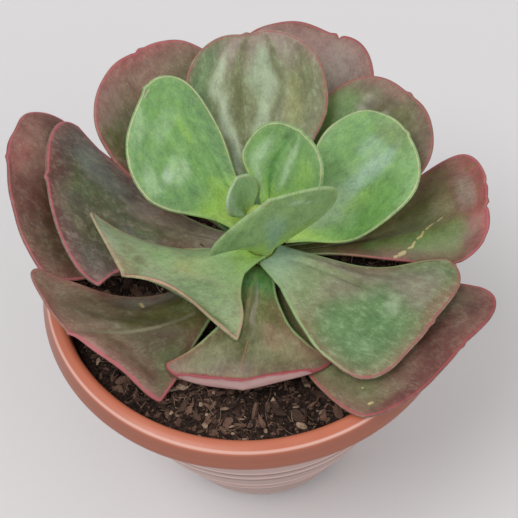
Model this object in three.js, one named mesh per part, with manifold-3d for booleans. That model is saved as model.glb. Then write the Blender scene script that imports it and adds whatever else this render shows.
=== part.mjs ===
import * as THREE from 'three';
import { mergeVertices } from 'three/addons/utils/BufferGeometryUtils.js';
import Module from 'manifold-3d';

// A potted echeveria: a round plastic pot filled with soil, a short stem and a rosette of
// seventeen broad leaves. Millimetres, +Z up, origin at the centre of the pot's base.

const wasm = await Module();
wasm.setup();

// Driving dimensions of the pot
const RIM_RADIUS = 100;
const POT_HEIGHT = 145;
const WALL = 2.5;
const FLOOR = 3.5;
const BASE_RADIUS = 47;
const POT_SIDES = 64;
const DRAIN_HOLES = 6;
const DRAIN_RADIUS = 4.5;
const DRAIN_CIRCLE = 31;
const DRAIN_SIDES = 16;
const FOOT_NOTCHES = 4;
const NOTCH_WIDTH = 14;
const NOTCH_HEIGHT = 2;
const NOTCH_DEPTH = 8;

// Driving dimensions of the soil
const SOIL_LEVEL = 133;
const SOIL_RADIUS = 88;
const SOIL_RELIEF = 1.6;
const SOIL_SIDES = 40;
const SOIL_RINGS = 7;

// Driving dimensions of the stem, which stands a little off the pot's axis
const STEM_X = 6;
const STEM_Y = 4;
const STEM_FOOT = 100;
const STEM_TOP = 186;
const STEM_THICK = 8;
const STEM_THIN = 5.5;
const TAPER_FROM = 140;
const TAPER_LENGTH = 45;
const STEM_SIDES = 24;

// Clearance between pieces that touch
const GAP = 0.3;

// Leaf flesh: thick along the middle near the stem, thin at the margin
const FLESH_AT_STEM = 4.2;
const FLESH_AT_TIP = 2.4;
const FLESH_AT_MARGIN = 1.7;

// Division of every blade: stations along it and columns across it
const STATIONS = 13;
const COLUMNS = 8;
const MIDRIB_STEPS = 240;
const TIP_CUT = 0.998;
const TIP_CROWDING = 1.7;

// The share of a blade's length in which its neck hugs the round of the stem
const CLASP = 0.15;

// What a leaf has unless its own line says otherwise. Angles are in degrees. neck is the width at
// the stem as a share of the greatest width, and widest is where along the blade that width lies.
// A greater swell keeps the half blade narrow for longer, and flare of 1 lets it widen late and at
// once. A round of 1 runs the margin straight from the widest place to the tip, and more rounds it.
// curl bends each half upwards, at the stem and at the tip. lean carries each half forward or back
// along the blade, half is each half's share of the width, and wave lifts its margin in one wave,
// given by its height, its place along the blade and its reach.
const COMMON_LEAF = {
  turn: 0,
  neck: 0.22,
  widest: 0.68,
  roundLeft: 2.3,
  roundRight: 2.3,
  swellLeft: 1.7,
  swellRight: 1.7,
  flareLeft: 0,
  flareRight: 0,
  curlLeft: [30, 10],
  curlRight: [30, 10],
  leanLeft: 0,
  leanRight: 0,
  halfLeft: 1,
  halfRight: 1,
  waveLeft: [0, 0.9, 0.1],
  waveRight: [0, 0.9, 0.1],
};

// The leaves from the oldest and lowest to the youngest. height is where the blade leaves the stem,
// bearing is its heading seen from above, and rise is the slope of its midrib at the stem, in the
// middle and at the tip.
const LEAVES = [
  {
    name: 'leaf_01', height: 142, bearing: 157, length: 127, width: 80, rise: [3, 8, 38],
    neck: 0.14, widest: 0.8, roundLeft: 1.7, flareLeft: 0.3, flareRight: 0.3, curlLeft: [0, 0],
    curlRight: [0, -20], leanLeft: -0.47, leanRight: 0.3, halfLeft: 1.15, colour: 0x7a4a48,
  },
  {
    name: 'leaf_02', height: 148, bearing: 120, length: 110, width: 74, rise: [22, 30, 38],
    neck: 0.11, swellLeft: 2, swellRight: 2, curlLeft: [20, 10], curlRight: [20, 10],
    halfLeft: 1.06, halfRight: 0.9, colour: 0x7f5a4c,
  },
  {
    name: 'leaf_03', height: 143, bearing: 67, length: 116, width: 68, rise: [18, 20, 30],
    neck: 0.1, roundLeft: 2.6, leanLeft: 0.12, halfLeft: 1.36, halfRight: 0.82, colour: 0x96605a,
  },
  {
    name: 'leaf_04', height: 150.6, bearing: 4, length: 103, width: 62, rise: [0, 1, 34],
    neck: 0.1, widest: 0.8, swellLeft: 4.5, swellRight: 2.6, flareRight: 0.4, curlRight: [-25, -45],
    leanLeft: 0.3, leanRight: -0.2, halfRight: 0.75, colour: 0x6f6a45,
  },
  {
    name: 'leaf_05', height: 147, bearing: -33, length: 97, width: 84, rise: [0, 0, 6],
    neck: 0.14, widest: 0.8, swellRight: 0.95, flareLeft: 0.2, curlLeft: [-18, 2],
    curlRight: [0, 0], leanLeft: 0.4, leanRight: -0.15, halfLeft: 0.8, halfRight: 1.27,
    colour: 0x6b4a42,
  },
  {
    name: 'leaf_06', height: 147, bearing: -151, length: 92, width: 86, rise: [4, 1, 20], turn: -12,
    neck: 0.14, widest: 0.87, roundLeft: 1.35, swellLeft: 1.8, flareLeft: 0.35, flareRight: 1,
    curlLeft: [-28, -32], curlRight: [0, 10], leanLeft: -0.5, leanRight: 0.4, halfLeft: 0.96,
    halfRight: 0.9, waveLeft: [7, 0.95, 0.1], waveRight: [-8, 0.45, 0.25], colour: 0x77594b,
  },
  {
    name: 'leaf_07', height: 156, bearing: 161, length: 102, width: 80, rise: [0, 3, 40],
    neck: 0.12, widest: 0.84, swellLeft: 2, swellRight: 2.4, flareLeft: 0.5, flareRight: 0.55,
    curlLeft: [0, 0], curlRight: [0, -20], leanLeft: -0.7, leanRight: 0.3, colour: 0x5f554c,
  },
  {
    name: 'leaf_08', height: 156, bearing: 37, length: 95, width: 64, rise: [22, 20, 28],
    neck: 0.1, curlRight: [-14, 0], colour: 0x6f7f52,
  },
  {
    name: 'leaf_09', height: 161, bearing: 87, length: 95, width: 68, rise: [29, 30, 42],
    neck: 0.12, curlRight: [10, 5], colour: 0x77805c,
  },
  {
    name: 'leaf_10', height: 158, bearing: -33, length: 82, width: 74, rise: [6, 0, -5],
    neck: 0.15, widest: 0.8, roundRight: 2.8, swellRight: 1.05, flareLeft: 0.6,
    curlLeft: [-20, -10], curlRight: [-5, -15], leanLeft: 0.2, leanRight: -0.1, halfRight: 1.1,
    waveLeft: [-8, 0.5, 0.25], colour: 0x6f8a5e,
  },
  {
    name: 'leaf_11', height: 153, bearing: -100, length: 65, width: 75, rise: [15, -8, -25],
    neck: 0.2, widest: 0.87, roundLeft: 1.8, swellLeft: 1.9, swellRight: 2.2, flareLeft: 0.8,
    flareRight: 1, curlLeft: [-15, -8], curlRight: [-12, -6], leanLeft: -0.2, halfLeft: 1.04,
    halfRight: 0.98, waveLeft: [4, 0.95, 0.1], colour: 0x7f7a5a,
  },
  {
    name: 'leaf_12', height: 161.5, bearing: -156, length: 60, width: 78, rise: [9, 2, 18], turn: -20,
    neck: 0.2, widest: 0.87, roundLeft: 1.15, swellLeft: 1.35, swellRight: 2, flareLeft: 0.15,
    flareRight: 0.5, curlLeft: [-15, -12], curlRight: [-70, 0], leanLeft: -1.05, leanRight: 0.4,
    halfLeft: 0.97, halfRight: 1.05, waveLeft: [14, 0.96, 0.1], colour: 0x8fa06f,
  },
  {
    name: 'leaf_13', height: 165, bearing: 22, length: 77, width: 57, rise: [24, 24, 30],
    neck: 0.13, swellLeft: 3, swellRight: 1, curlRight: [-25, -10], halfLeft: 0.97,
    waveRight: [-11, 0.42, 0.25], colour: 0x7fae6a,
  },
  {
    name: 'leaf_14', height: 169, bearing: 131, length: 79, width: 56, rise: [30, 32, 38],
    neck: 0.18, widest: 0.7, roundLeft: 2.8, swellLeft: 1.4, curlLeft: [-10, -10],
    curlRight: [20, 10], leanLeft: -0.5, leanRight: 0.25, halfLeft: 1.12, halfRight: 0.7,
    colour: 0x7fb36c,
  },
  {
    name: 'leaf_15', height: 166, bearing: -72, length: 50, width: 56, rise: [70, 85, 80],
    neck: 0.18, roundLeft: 2.6, roundRight: 2.8, swellLeft: 1.4, swellRight: 1.4,
    curlLeft: [-5, -15], leanLeft: 0.2, leanRight: -0.95, halfLeft: 1.12, halfRight: 0.95,
    colour: 0x6d9c70,
  },
  {
    name: 'leaf_16', height: 176.5, bearing: 43, length: 45, width: 46, rise: [60, 60, 60],
    neck: 0.13, widest: 0.5, swellLeft: 2, colour: 0x7db777,
  },
  {
    name: 'leaf_17', height: 177, bearing: 134, length: 22.5, width: 22.5, rise: [75, 78, 78],
    neck: 0.3, widest: 0.5, curlLeft: [20, 20], curlRight: [20, 20], halfRight: 0.8,
    colour: 0x86b582,
  },
];

const radians = THREE.MathUtils.degToRad;
const lerp = THREE.MathUtils.lerp;

// Half-thickness of the stem at a height above the pot's base
function stemRadius(height) {
  const share = THREE.MathUtils.clamp((height - TAPER_FROM) / TAPER_LENGTH, 0, 1);
  return lerp(STEM_THICK, STEM_THIN, share);
}

// A closed geometry as a solid that can be cut and joined
function toSolid(geometry) {
  const bare = geometry.clone();
  bare.deleteAttribute('normal');
  bare.deleteAttribute('uv');
  const merged = mergeVertices(bare, 1e-4);
  return new wasm.Manifold(new wasm.Mesh({
    numProp: 3,
    vertProperties: new Float32Array(merged.attributes.position.array),
    triVerts: new Uint32Array(merged.index.array),
  }));
}

function toGeometry(solid) {
  const mesh = solid.getMesh();
  const geometry = new THREE.BufferGeometry();
  geometry.setAttribute('position', new THREE.BufferAttribute(mesh.vertProperties, 3));
  geometry.setIndex(new THREE.BufferAttribute(mesh.triVerts, 1));
  geometry.computeVertexNormals();
  return geometry;
}

// A solid of revolution about +Z from [radius, height] pairs that start and end on the axis,
// listed from the bottom upwards
function turned(profile, sides) {
  const points = profile.map(([radius, height]) => new THREE.Vector2(radius, height));
  const geometry = new THREE.LatheGeometry(points, sides);
  geometry.rotateX(Math.PI / 2);
  return geometry;
}

function piece(name, geometry, colour, roughness) {
  const material = new THREE.MeshStandardMaterial({ color: colour, roughness, metalness: 0 });
  const mesh = new THREE.Mesh(geometry, material);
  mesh.name = name;
  return mesh;
}

// The pot's outside from the foot up to the underside of the rim band, with two low steps in it
const POT_BODY = [
  [BASE_RADIUS, 1],
  [BASE_RADIUS, 3],
  [BASE_RADIUS + 2.5, 5.5],
  [59.4, 33],
  [60.6, 34.5],
  [65.6, 50],
  [67.4, 51.5],
  [68, 53.5],
  [75, 75],
  [85, 108],
  [91, 130],
];

// The rim band, which stands proud of the body and has a rounded crest
const POT_BAND = [
  [96, 131],
  [99, 132],
  [RIM_RADIUS, 134.5],
  [98.6, 138.6],
  [96.5, 142.6],
  [94.5, POT_HEIGHT - 0.6],
  [92.5, POT_HEIGHT],
  [90.7, POT_HEIGHT - 0.6],
  [90, POT_HEIGHT - 2],
];

// The inside of the wall, from the top down to the floor
const POT_INSIDE = [
  [91 - WALL, 130],
  [85 - WALL, 108],
  [75 - WALL, 75],
  [64 - WALL, 45],
  [BASE_RADIUS, FLOOR + 4],
  [BASE_RADIUS - 2, FLOOR],
];

function drainCutters() {
  const cutters = [];
  for (let i = 0; i < DRAIN_HOLES; i += 1) {
    const angle = (2 * Math.PI * i) / DRAIN_HOLES;
    const hole = new THREE.CylinderGeometry(DRAIN_RADIUS, DRAIN_RADIUS, 4 * FLOOR, DRAIN_SIDES);
    hole.rotateX(Math.PI / 2);
    hole.translate(DRAIN_CIRCLE * Math.cos(angle), DRAIN_CIRCLE * Math.sin(angle), 0);
    cutters.push(hole);
  }
  for (let i = 0; i < FOOT_NOTCHES; i += 1) {
    const notch = new THREE.BoxGeometry(NOTCH_DEPTH, NOTCH_WIDTH, 2 * NOTCH_HEIGHT);
    notch.translate(BASE_RADIUS, 0, 0);
    notch.rotateZ((2 * Math.PI * (i + 0.5)) / FOOT_NOTCHES);
    cutters.push(notch);
  }
  return cutters;
}

function pot() {
  const profile = [[0, 0], [BASE_RADIUS - 1, 0], ...POT_BODY, ...POT_BAND, ...POT_INSIDE, [0, FLOOR]];
  let solid = toSolid(turned(profile, POT_SIDES));
  for (const cutter of drainCutters()) {
    solid = solid.subtract(toSolid(cutter));
  }
  return piece('pot', toGeometry(solid), 0xc8775a, 0.45);
}

// Height of the soil's surface above its level, a sum of waves that dies out at the wall
function soilRelief(x, y) {
  const waves = Math.sin(0.11 * x + 0.05 * y) + Math.sin(0.07 * y - 0.13 * x + 2)
    + 0.7 * Math.sin(0.21 * y + 0.09 * x + 4);
  const edge = 1 - (Math.hypot(x, y) / RIM_RADIUS) ** 8;
  return SOIL_RELIEF * 0.5 * waves * edge;
}

// The stem from its rounded foot in the soil to its tip; grown is how much fatter it is made
function stemProfile(grown) {
  const profile = [[0, STEM_FOOT - grown], [3 + grown, STEM_FOOT - grown], [6 + grown, STEM_FOOT + 6]];
  for (const height of [120, 140, 150, 160, 170, STEM_TOP - 3]) {
    profile.push([stemRadius(height) + grown, height]);
  }
  profile.push([3 + grown, STEM_TOP + grown], [0, STEM_TOP + 0.5 + grown]);
  return profile;
}

function soil() {
  const profile = [[0, FLOOR + GAP], [BASE_RADIUS - 2 - GAP, FLOOR + GAP]];
  for (const [radius, height] of POT_INSIDE.slice(0, -1).reverse()) {
    profile.push([radius - 2 * GAP, height]);
  }
  for (let ring = SOIL_RINGS; ring >= 0; ring -= 1) {
    profile.push([(SOIL_RADIUS * ring) / SOIL_RINGS, SOIL_LEVEL]);
  }
  const geometry = turned(profile, SOIL_SIDES);
  const position = geometry.attributes.position;
  for (let i = 0; i < position.count; i += 1) {
    if (position.getZ(i) > SOIL_LEVEL - 1) {
      const relief = soilRelief(position.getX(i), position.getY(i));
      position.setZ(i, SOIL_LEVEL + relief);
    }
  }
  const socket = turned(stemProfile(GAP), STEM_SIDES);
  socket.translate(STEM_X, STEM_Y, 0);
  const solid = toSolid(geometry).subtract(toSolid(socket));
  return piece('soil', toGeometry(solid), 0x3a2d26, 0.95);
}

function stem() {
  return piece('stem', turned(stemProfile(0), STEM_SIDES), 0x8a8f5c, 0.7);
}

// Distance from the stem's axis to the end of a leaf's neck
function seatRadius(leaf) {
  return stemRadius(leaf.height - FLESH_AT_STEM) + GAP;
}

// Places along a leaf's midrib, in the leaf's own frame: X outward, Y to the left, Z up, with the
// origin on the stem's axis
function midrib(leaf) {
  const places = [];
  const point = new THREE.Vector3(seatRadius(leaf), 0, 0);
  const step = leaf.length / MIDRIB_STEPS;
  for (let i = 0; i <= MIDRIB_STEPS; i += 1) {
    const s = i / MIDRIB_STEPS;
    const [low, middle, high] = leaf.rise;
    const pitch = radians(low * (1 - s) ** 2 + 2 * middle * s * (1 - s) + high * s ** 2);
    const heading = radians(leaf.turn * s ** 2);
    const along = new THREE.Vector3(
      Math.cos(pitch) * Math.cos(heading),
      Math.cos(pitch) * Math.sin(heading),
      Math.sin(pitch),
    );
    const left = new THREE.Vector3(-Math.sin(heading), Math.cos(heading), 0);
    places.push({ point: point.clone(), along, left, up: along.clone().cross(left) });
    point.addScaledVector(along, step);
  }
  return places;
}

// The midrib's frame between two of its places
function frameAt(places, s) {
  const step = Math.min(s * MIDRIB_STEPS, MIDRIB_STEPS - 1e-6);
  const near = places[Math.floor(step)];
  const far = places[Math.floor(step) + 1];
  const share = step - Math.floor(step);
  return {
    point: near.point.clone().lerp(far.point, share),
    along: near.along.clone().lerp(far.along, share).normalize(),
    left: near.left.clone().lerp(far.left, share).normalize(),
    up: near.up.clone().lerp(far.up, share).normalize(),
  };
}

// The width of one half of the blade at s, from 0 at the stem to 1 at the tip, as a share of its
// greatest width
function widthShare(leaf, s, isLeft) {
  if (s >= leaf.widest) {
    const power = isLeft ? leaf.roundLeft : leaf.roundRight;
    const u = (s - leaf.widest) / (1 - leaf.widest);
    return Math.max(0, 1 - u ** power) ** (1 / power);
  }
  const swell = isLeft ? leaf.swellLeft : leaf.swellRight;
  const flare = isLeft ? leaf.flareLeft : leaf.flareRight;
  const u = s / leaf.widest;
  const early = Math.sin((Math.PI / 2) * u) ** swell;
  const late = u ** (swell + 1);
  return lerp(leaf.neck, 1, lerp(early, late, flare));
}

// How far the wave of a half's margin lifts the blade at s along it and v across it, where v is a
// share of the half's greatest width
function waveLift([height, place, reach], s, v) {
  return height * Math.exp(-(((s - place) / reach) ** 2)) * 4 * v * (1 - v);
}

// Draws a point near the neck in towards the stem, so that the neck follows the stem's round, and
// keeps it from entering the stem
function clasp(leaf, s, point) {
  const seat = seatRadius(leaf);
  const y = Math.min(Math.abs(point.y), seat);
  const nearest = Math.sqrt(seat ** 2 - y ** 2);
  const drawn = point.x - (seat - nearest) * Math.max(0, 1 - s / CLASP);
  return point.setX(Math.max(drawn, nearest));
}

// The upper and the lower skin's points at s along and t across, where t runs from -1 at the right
// margin to 1 at the left one
function bladePoints(leaf, places, s, t) {
  const { point, along, left, up } = frameAt(places, s);
  const isLeft = t > 0;
  const [curlStem, curlTip] = isLeft ? leaf.curlLeft : leaf.curlRight;
  const curl = radians(lerp(curlStem, curlTip, s)) || 1e-6;
  const full = (leaf.width / 2) * (isLeft ? leaf.halfLeft : leaf.halfRight);
  const reach = full * widthShare(leaf, s, isLeft);
  const bend = curl * Math.abs(t);
  const across = (reach * Math.sin(bend)) / curl;
  const lift = (reach * (1 - Math.cos(bend))) / curl
    + waveLift(isLeft ? leaf.waveLeft : leaf.waveRight, s, (Math.abs(t) * reach) / full);
  const lean = (isLeft ? leaf.leanLeft : leaf.leanRight) * Math.min(1, s / leaf.widest);
  const side = isLeft ? 1 : -1;
  const upper = point
    .addScaledVector(left, side * across)
    .addScaledVector(up, lift)
    .addScaledVector(along, lean * across);
  const core = lerp(FLESH_AT_STEM, FLESH_AT_TIP, s);
  const flesh = lerp(core, FLESH_AT_MARGIN, t * t);
  const lower = upper.clone()
    .addScaledVector(left, side * flesh * Math.sin(bend))
    .addScaledVector(up, -flesh * Math.cos(bend));
  return { upper: clasp(leaf, s, upper), lower: clasp(leaf, s, lower) };
}

// A closed blade: two skins joined by a strip along the margins, the neck and the tip
function bladeGeometry(leaf) {
  const places = midrib(leaf);
  const corners = [];
  const across = COLUMNS + 1;
  for (let i = 0; i <= STATIONS; i += 1) {
    const s = TIP_CUT * (1 - (1 - i / STATIONS) ** TIP_CROWDING);
    for (let j = 0; j <= COLUMNS; j += 1) {
      const { upper, lower } = bladePoints(leaf, places, s, (2 * j) / COLUMNS - 1);
      corners.push(upper, lower);
    }
  }
  const top = (i, j) => 2 * (i * across + j);
  const bottom = (i, j) => top(i, j) + 1;
  const triangles = [];
  const quad = (a, b, c, d) => triangles.push(a, b, c, a, c, d);
  for (let i = 0; i < STATIONS; i += 1) {
    for (let j = 0; j < COLUMNS; j += 1) {
      quad(top(i, j), top(i + 1, j), top(i + 1, j + 1), top(i, j + 1));
      quad(bottom(i + 1, j + 1), bottom(i + 1, j), bottom(i, j), bottom(i, j + 1));
    }
    quad(top(i, 0), bottom(i, 0), bottom(i + 1, 0), top(i + 1, 0));
    quad(top(i + 1, COLUMNS), bottom(i + 1, COLUMNS), bottom(i, COLUMNS), top(i, COLUMNS));
  }
  for (let j = 0; j < COLUMNS; j += 1) {
    quad(top(0, j), top(0, j + 1), bottom(0, j + 1), bottom(0, j));
    quad(top(STATIONS, j + 1), top(STATIONS, j), bottom(STATIONS, j), bottom(STATIONS, j + 1));
  }
  const geometry = new THREE.BufferGeometry().setFromPoints(corners);
  geometry.setIndex(triangles);
  geometry.computeVertexNormals();
  return geometry;
}

function leafMesh(own) {
  const leaf = { ...COMMON_LEAF, ...own };
  const mesh = piece(leaf.name, bladeGeometry(leaf), leaf.colour, 0.6);
  mesh.position.set(0, 0, leaf.height);
  mesh.rotation.z = radians(leaf.bearing);
  return mesh;
}

const plant = new THREE.Group();
plant.position.set(STEM_X, STEM_Y, 0);
plant.add(stem());
for (const leaf of LEAVES) {
  plant.add(leafMesh(leaf));
}

const group = new THREE.Group();
group.add(pot(), soil(), plant);

export default group;
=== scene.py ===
import math

import bmesh
import bpy
import numpy as np
from mathutils import Matrix, Vector, noise


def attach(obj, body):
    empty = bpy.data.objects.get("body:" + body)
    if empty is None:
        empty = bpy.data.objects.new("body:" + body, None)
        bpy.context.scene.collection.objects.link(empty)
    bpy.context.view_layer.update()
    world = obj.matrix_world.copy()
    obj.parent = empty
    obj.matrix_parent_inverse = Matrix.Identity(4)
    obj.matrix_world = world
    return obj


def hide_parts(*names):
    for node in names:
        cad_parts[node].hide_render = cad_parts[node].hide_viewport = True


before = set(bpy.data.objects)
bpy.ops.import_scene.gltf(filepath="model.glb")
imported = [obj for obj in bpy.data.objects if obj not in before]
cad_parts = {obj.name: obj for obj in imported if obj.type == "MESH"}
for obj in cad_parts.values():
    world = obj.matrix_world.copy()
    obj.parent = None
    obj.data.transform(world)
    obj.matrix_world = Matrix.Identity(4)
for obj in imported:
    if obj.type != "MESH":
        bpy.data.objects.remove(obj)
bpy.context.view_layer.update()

# A potted echeveria. Sizes are in millimetres, and MM turns them into metres where a mesh is made.
MM = 0.001
SEED = 11


def shade(red, green, blue):
    """A display colour, from 0 to 255, as the linear colour that a shader takes."""
    def linear(value):
        value /= 255
        return value / 12.92 if value <= 0.04045 else ((value + 0.055) / 1.055) ** 2.4
    return np.array((linear(red), linear(green), linear(blue)))


# Greens of the young leaves
LIME = shade(158, 200, 92)
YELLOW_GREEN = shade(176, 200, 104)
FRESH_GREEN = shade(122, 164, 98)
LEAF_GREEN = shade(118, 162, 94)
CLEAR_GREEN = shade(112, 162, 82)
DEEP_GREEN = shade(96, 134, 82)
CREASE_GREEN = shade(84, 140, 66)
SEA_GREEN = shade(128, 166, 142)
SKY_GREEN = shade(164, 194, 170)
MINT = shade(168, 198, 152)
FROST = shade(204, 226, 208)
BACK_GREEN = shade(134, 170, 110)
CREAM = shade(206, 198, 160)

# Greens of the older leaves
PALE_GREEN = shade(150, 182, 122)
GREY_GREEN = shade(146, 162, 120)
SAGE = shade(166, 182, 148)
GLAUCOUS = shade(122, 130, 118)
PINE = shade(84, 136, 74)
GRASS = shade(98, 136, 66)
MOSS = shade(92, 104, 64)
CHANNEL = shade(180, 194, 162)

# Olives and browns
OLIVE = shade(102, 106, 60)
DARK_OLIVE = shade(82, 84, 42)
KHAKI = shade(124, 128, 90)
TAN_OLIVE = shade(142, 132, 98)
RIDGE_OLIVE = shade(126, 122, 94)
YELLOW_OLIVE = shade(150, 150, 92)
UMBER = shade(90, 74, 54)
BRONZE = shade(92, 66, 46)
TAUPE = shade(112, 100, 78)
GREY_TAN = shade(152, 138, 124)
STONE = shade(168, 160, 146)

# Reds and mauves
MAROON = shade(96, 62, 54)
WINE = shade(98, 58, 50)
BRICK = shade(164, 86, 82)
DUSTY_ROSE = shade(140, 104, 90)
ROSE_TAN = shade(158, 118, 104)
ROSE = shade(160, 92, 90)
MAUVE = shade(146, 120, 112)
SLATE = shade(94, 86, 78)
PINK = shade(184, 96, 104)
RED = shade(168, 72, 78)
CRIMSON = shade(156, 56, 70)
SALMON = shade(196, 146, 126)
BLUSH = shade(164, 130, 126)

# Scars and dried spots
STRAW = shade(200, 184, 128)
BONE = shade(190, 176, 156)
SCAR_BROWN = shade(146, 98, 76)
NEAR_BLACK = shade(40, 28, 22)

# The pot, the soil and the stem
TERRACOTTA = shade(190, 106, 78)
DUSTY_TERRACOTTA = shade(174, 148, 141)
PALE_TERRACOTTA = shade(204, 126, 98)
# Painted highlight, and painted shade on the rim's lower face and in the body's steps
HIGHLIGHT_TERRACOTTA = shade(236, 196, 184)
SHADED_TERRACOTTA = shade(138, 82, 64)
STEP_SHADE_BROWN = shade(104, 70, 63)
SOIL_BLACK = shade(16, 11, 9)
SOIL_BROWN = shade(84, 62, 51)
BARK = shade(138, 106, 90)
BARK_TAN = shade(196, 170, 144)
STEM_GREEN = shade(176, 196, 96)
STEM_BROWN = shade(134, 112, 78)

# The stem's place, its lower and upper end, its half-thickness at both, and where its taper starts and
# how long that is, as in the solid model
STEM_X = 6
STEM_Y = 4
STEM_FOOT = 100
STEM_TOP = 186
STEM_THICK = 8
STEM_THIN = 5.5
TAPER_FROM = 140
TAPER_LENGTH = 45

# The gap between pieces, a blade's thickness at its neck, tip and margin, and the share of its length
# over which the neck is drawn round the stem
GAP = 0.3
FLESH_AT_STEM = 4.2
FLESH_AT_TIP = 2.4
FLESH_AT_MARGIN = 1.7
CLASP = 0.15

# Division of a blade: rows up to its widest place, rows from there to the tip, columns across, and
# steps round its margin and along its midrib
LOW_ROWS = 56
TIP_ROWS = 34
COLUMNS = 48
RIM_STEPS = 6
MIDRIB_STEPS = 240

# The leaves, oldest first, with the shape that each has in the solid model. Angles are in degrees, and
# pairs are for the left and the right half of the blade.
# height, bearing: where the neck sits on the stem, in mm above the pot's base, and its direction
# length, width: those of the whole blade, in mm
# rise, turn: the pitch at the stem, the one it tends to half-way, the one at the tip, and the turn
# sideways
# neck, widest: the neck's width as a share of the blade's, and where along it the blade is widest
# roundness: how full the outline is beyond the widest place
# swell, flare: how slowly the outline widens up to there, and how much of that is left for the end
# curl, lean: the curl of each half at the stem and at the tip, and the slant of its ribs to the tip
# half: how wide each half is, as a share of half the width
# wave: one wave of each margin, as (height in mm, place, reach)
NO_WAVE = (0, 0.9, 0.1)
COMMON_LEAF = dict(
    turn=0, neck=0.22, widest=0.68, roundness=(2.3, 2.3), swell=(1.7, 1.7), flare=(0, 0),
    curl=((30, 10), (30, 10)), lean=(0, 0), half=(1, 1), wave=(NO_WAVE, NO_WAVE),
)

LEAVES = {
    "leaf_01": dict(
        height=142, bearing=157, length=127, width=80, rise=(3, 8, 38), neck=0.14, widest=0.8,
        roundness=(1.7, 2.3), flare=(0.3, 0.3), curl=((0, 0), (0, -20)), lean=(-0.47, 0.3),
        half=(1.15, 1),
    ),
    "leaf_02": dict(
        height=148, bearing=120, length=110, width=74, rise=(22, 30, 38), neck=0.11, swell=(2, 2),
        curl=((20, 10), (20, 10)), half=(1.06, 0.9),
    ),
    "leaf_03": dict(
        height=143, bearing=67, length=116, width=68, rise=(18, 20, 30), neck=0.1, roundness=(2.6, 2.3),
        lean=(0.12, 0), half=(1.36, 0.82),
    ),
    "leaf_04": dict(
        height=150.6, bearing=4, length=103, width=62, rise=(0, 1, 34), neck=0.1, widest=0.8,
        swell=(4.5, 2.6), flare=(0, 0.4), curl=((30, 10), (-25, -45)), lean=(0.3, -0.2), half=(1, 0.75),
    ),
    "leaf_05": dict(
        height=147, bearing=-33, length=97, width=84, rise=(0, 0, 6), neck=0.14, widest=0.8,
        swell=(1.7, 0.95), flare=(0.2, 0), curl=((-18, 2), (0, 0)), lean=(0.4, -0.15), half=(0.8, 1.27),
    ),
    "leaf_06": dict(
        height=147, bearing=-151, length=92, width=86, rise=(4, 1, 20), turn=-12, neck=0.14,
        widest=0.87, roundness=(1.35, 2.3), swell=(1.8, 1.7), flare=(0.35, 1),
        curl=((-28, -32), (0, 10)), lean=(-0.5, 0.4), half=(0.96, 0.9),
        wave=((7, 0.95, 0.1), (-8, 0.45, 0.25)),
    ),
    "leaf_07": dict(
        height=156, bearing=161, length=102, width=80, rise=(0, 3, 40), neck=0.12, widest=0.84,
        swell=(2, 2.4), flare=(0.5, 0.55), curl=((0, 0), (0, -20)), lean=(-0.7, 0.3),
    ),
    "leaf_08": dict(
        height=156, bearing=37, length=95, width=64, rise=(22, 20, 28), neck=0.1,
        curl=((30, 10), (-14, 0)),
    ),
    "leaf_09": dict(
        height=161, bearing=87, length=95, width=68, rise=(29, 30, 42), neck=0.12,
        curl=((30, 10), (10, 5)),
    ),
    "leaf_10": dict(
        height=158, bearing=-33, length=82, width=74, rise=(6, 0, -5), neck=0.15, widest=0.8,
        roundness=(2.3, 2.8), swell=(1.7, 1.05), flare=(0.6, 0), curl=((-20, -10), (-5, -15)),
        lean=(0.2, -0.1), half=(1, 1.1), wave=((-8, 0.5, 0.25), NO_WAVE),
    ),
    "leaf_11": dict(
        height=153, bearing=-100, length=65, width=75, rise=(15, -8, -25), neck=0.2, widest=0.87,
        roundness=(1.8, 2.3), swell=(1.9, 2.2), flare=(0.8, 1), curl=((-15, -8), (-12, -6)),
        lean=(-0.2, 0), half=(1.04, 0.98), wave=((4, 0.95, 0.1), NO_WAVE),
    ),
    "leaf_12": dict(
        height=161.5, bearing=-156, length=60, width=78, rise=(9, 2, 18), turn=-20, neck=0.2,
        widest=0.87, roundness=(1.15, 2.3), swell=(1.35, 2), flare=(0.15, 0.5),
        curl=((-15, -12), (-70, 0)), lean=(-1.05, 0.4), half=(0.97, 1.05),
        wave=((14, 0.96, 0.1), NO_WAVE),
    ),
    "leaf_13": dict(
        height=165, bearing=22, length=77, width=57, rise=(24, 24, 30), neck=0.13, swell=(3, 1),
        curl=((30, 10), (-25, -10)), half=(0.97, 1), wave=(NO_WAVE, (-11, 0.42, 0.25)),
    ),
    "leaf_14": dict(
        height=169, bearing=131, length=79, width=56, rise=(30, 32, 38), neck=0.18, widest=0.7,
        roundness=(2.8, 2.3), swell=(1.4, 1.7), curl=((-10, -10), (20, 10)), lean=(-0.5, 0.25),
        half=(1.12, 0.7),
    ),
    "leaf_15": dict(
        height=166, bearing=-72, length=50, width=56, rise=(70, 85, 80), neck=0.18,
        roundness=(2.6, 2.8), swell=(1.4, 1.4), curl=((-5, -15), (30, 10)), lean=(0.2, -0.95),
        half=(1.12, 0.95),
    ),
    "leaf_16": dict(
        height=176.5, bearing=43, length=45, width=46, rise=(60, 60, 60), neck=0.13, widest=0.5,
        swell=(2, 1.7),
    ),
    "leaf_17": dict(
        height=177, bearing=134, length=22.5, width=22.5, rise=(75, 78, 78), neck=0.3, widest=0.5,
        curl=((20, 20), (20, 20)), half=(1, 0.8),
    ),
}

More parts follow.
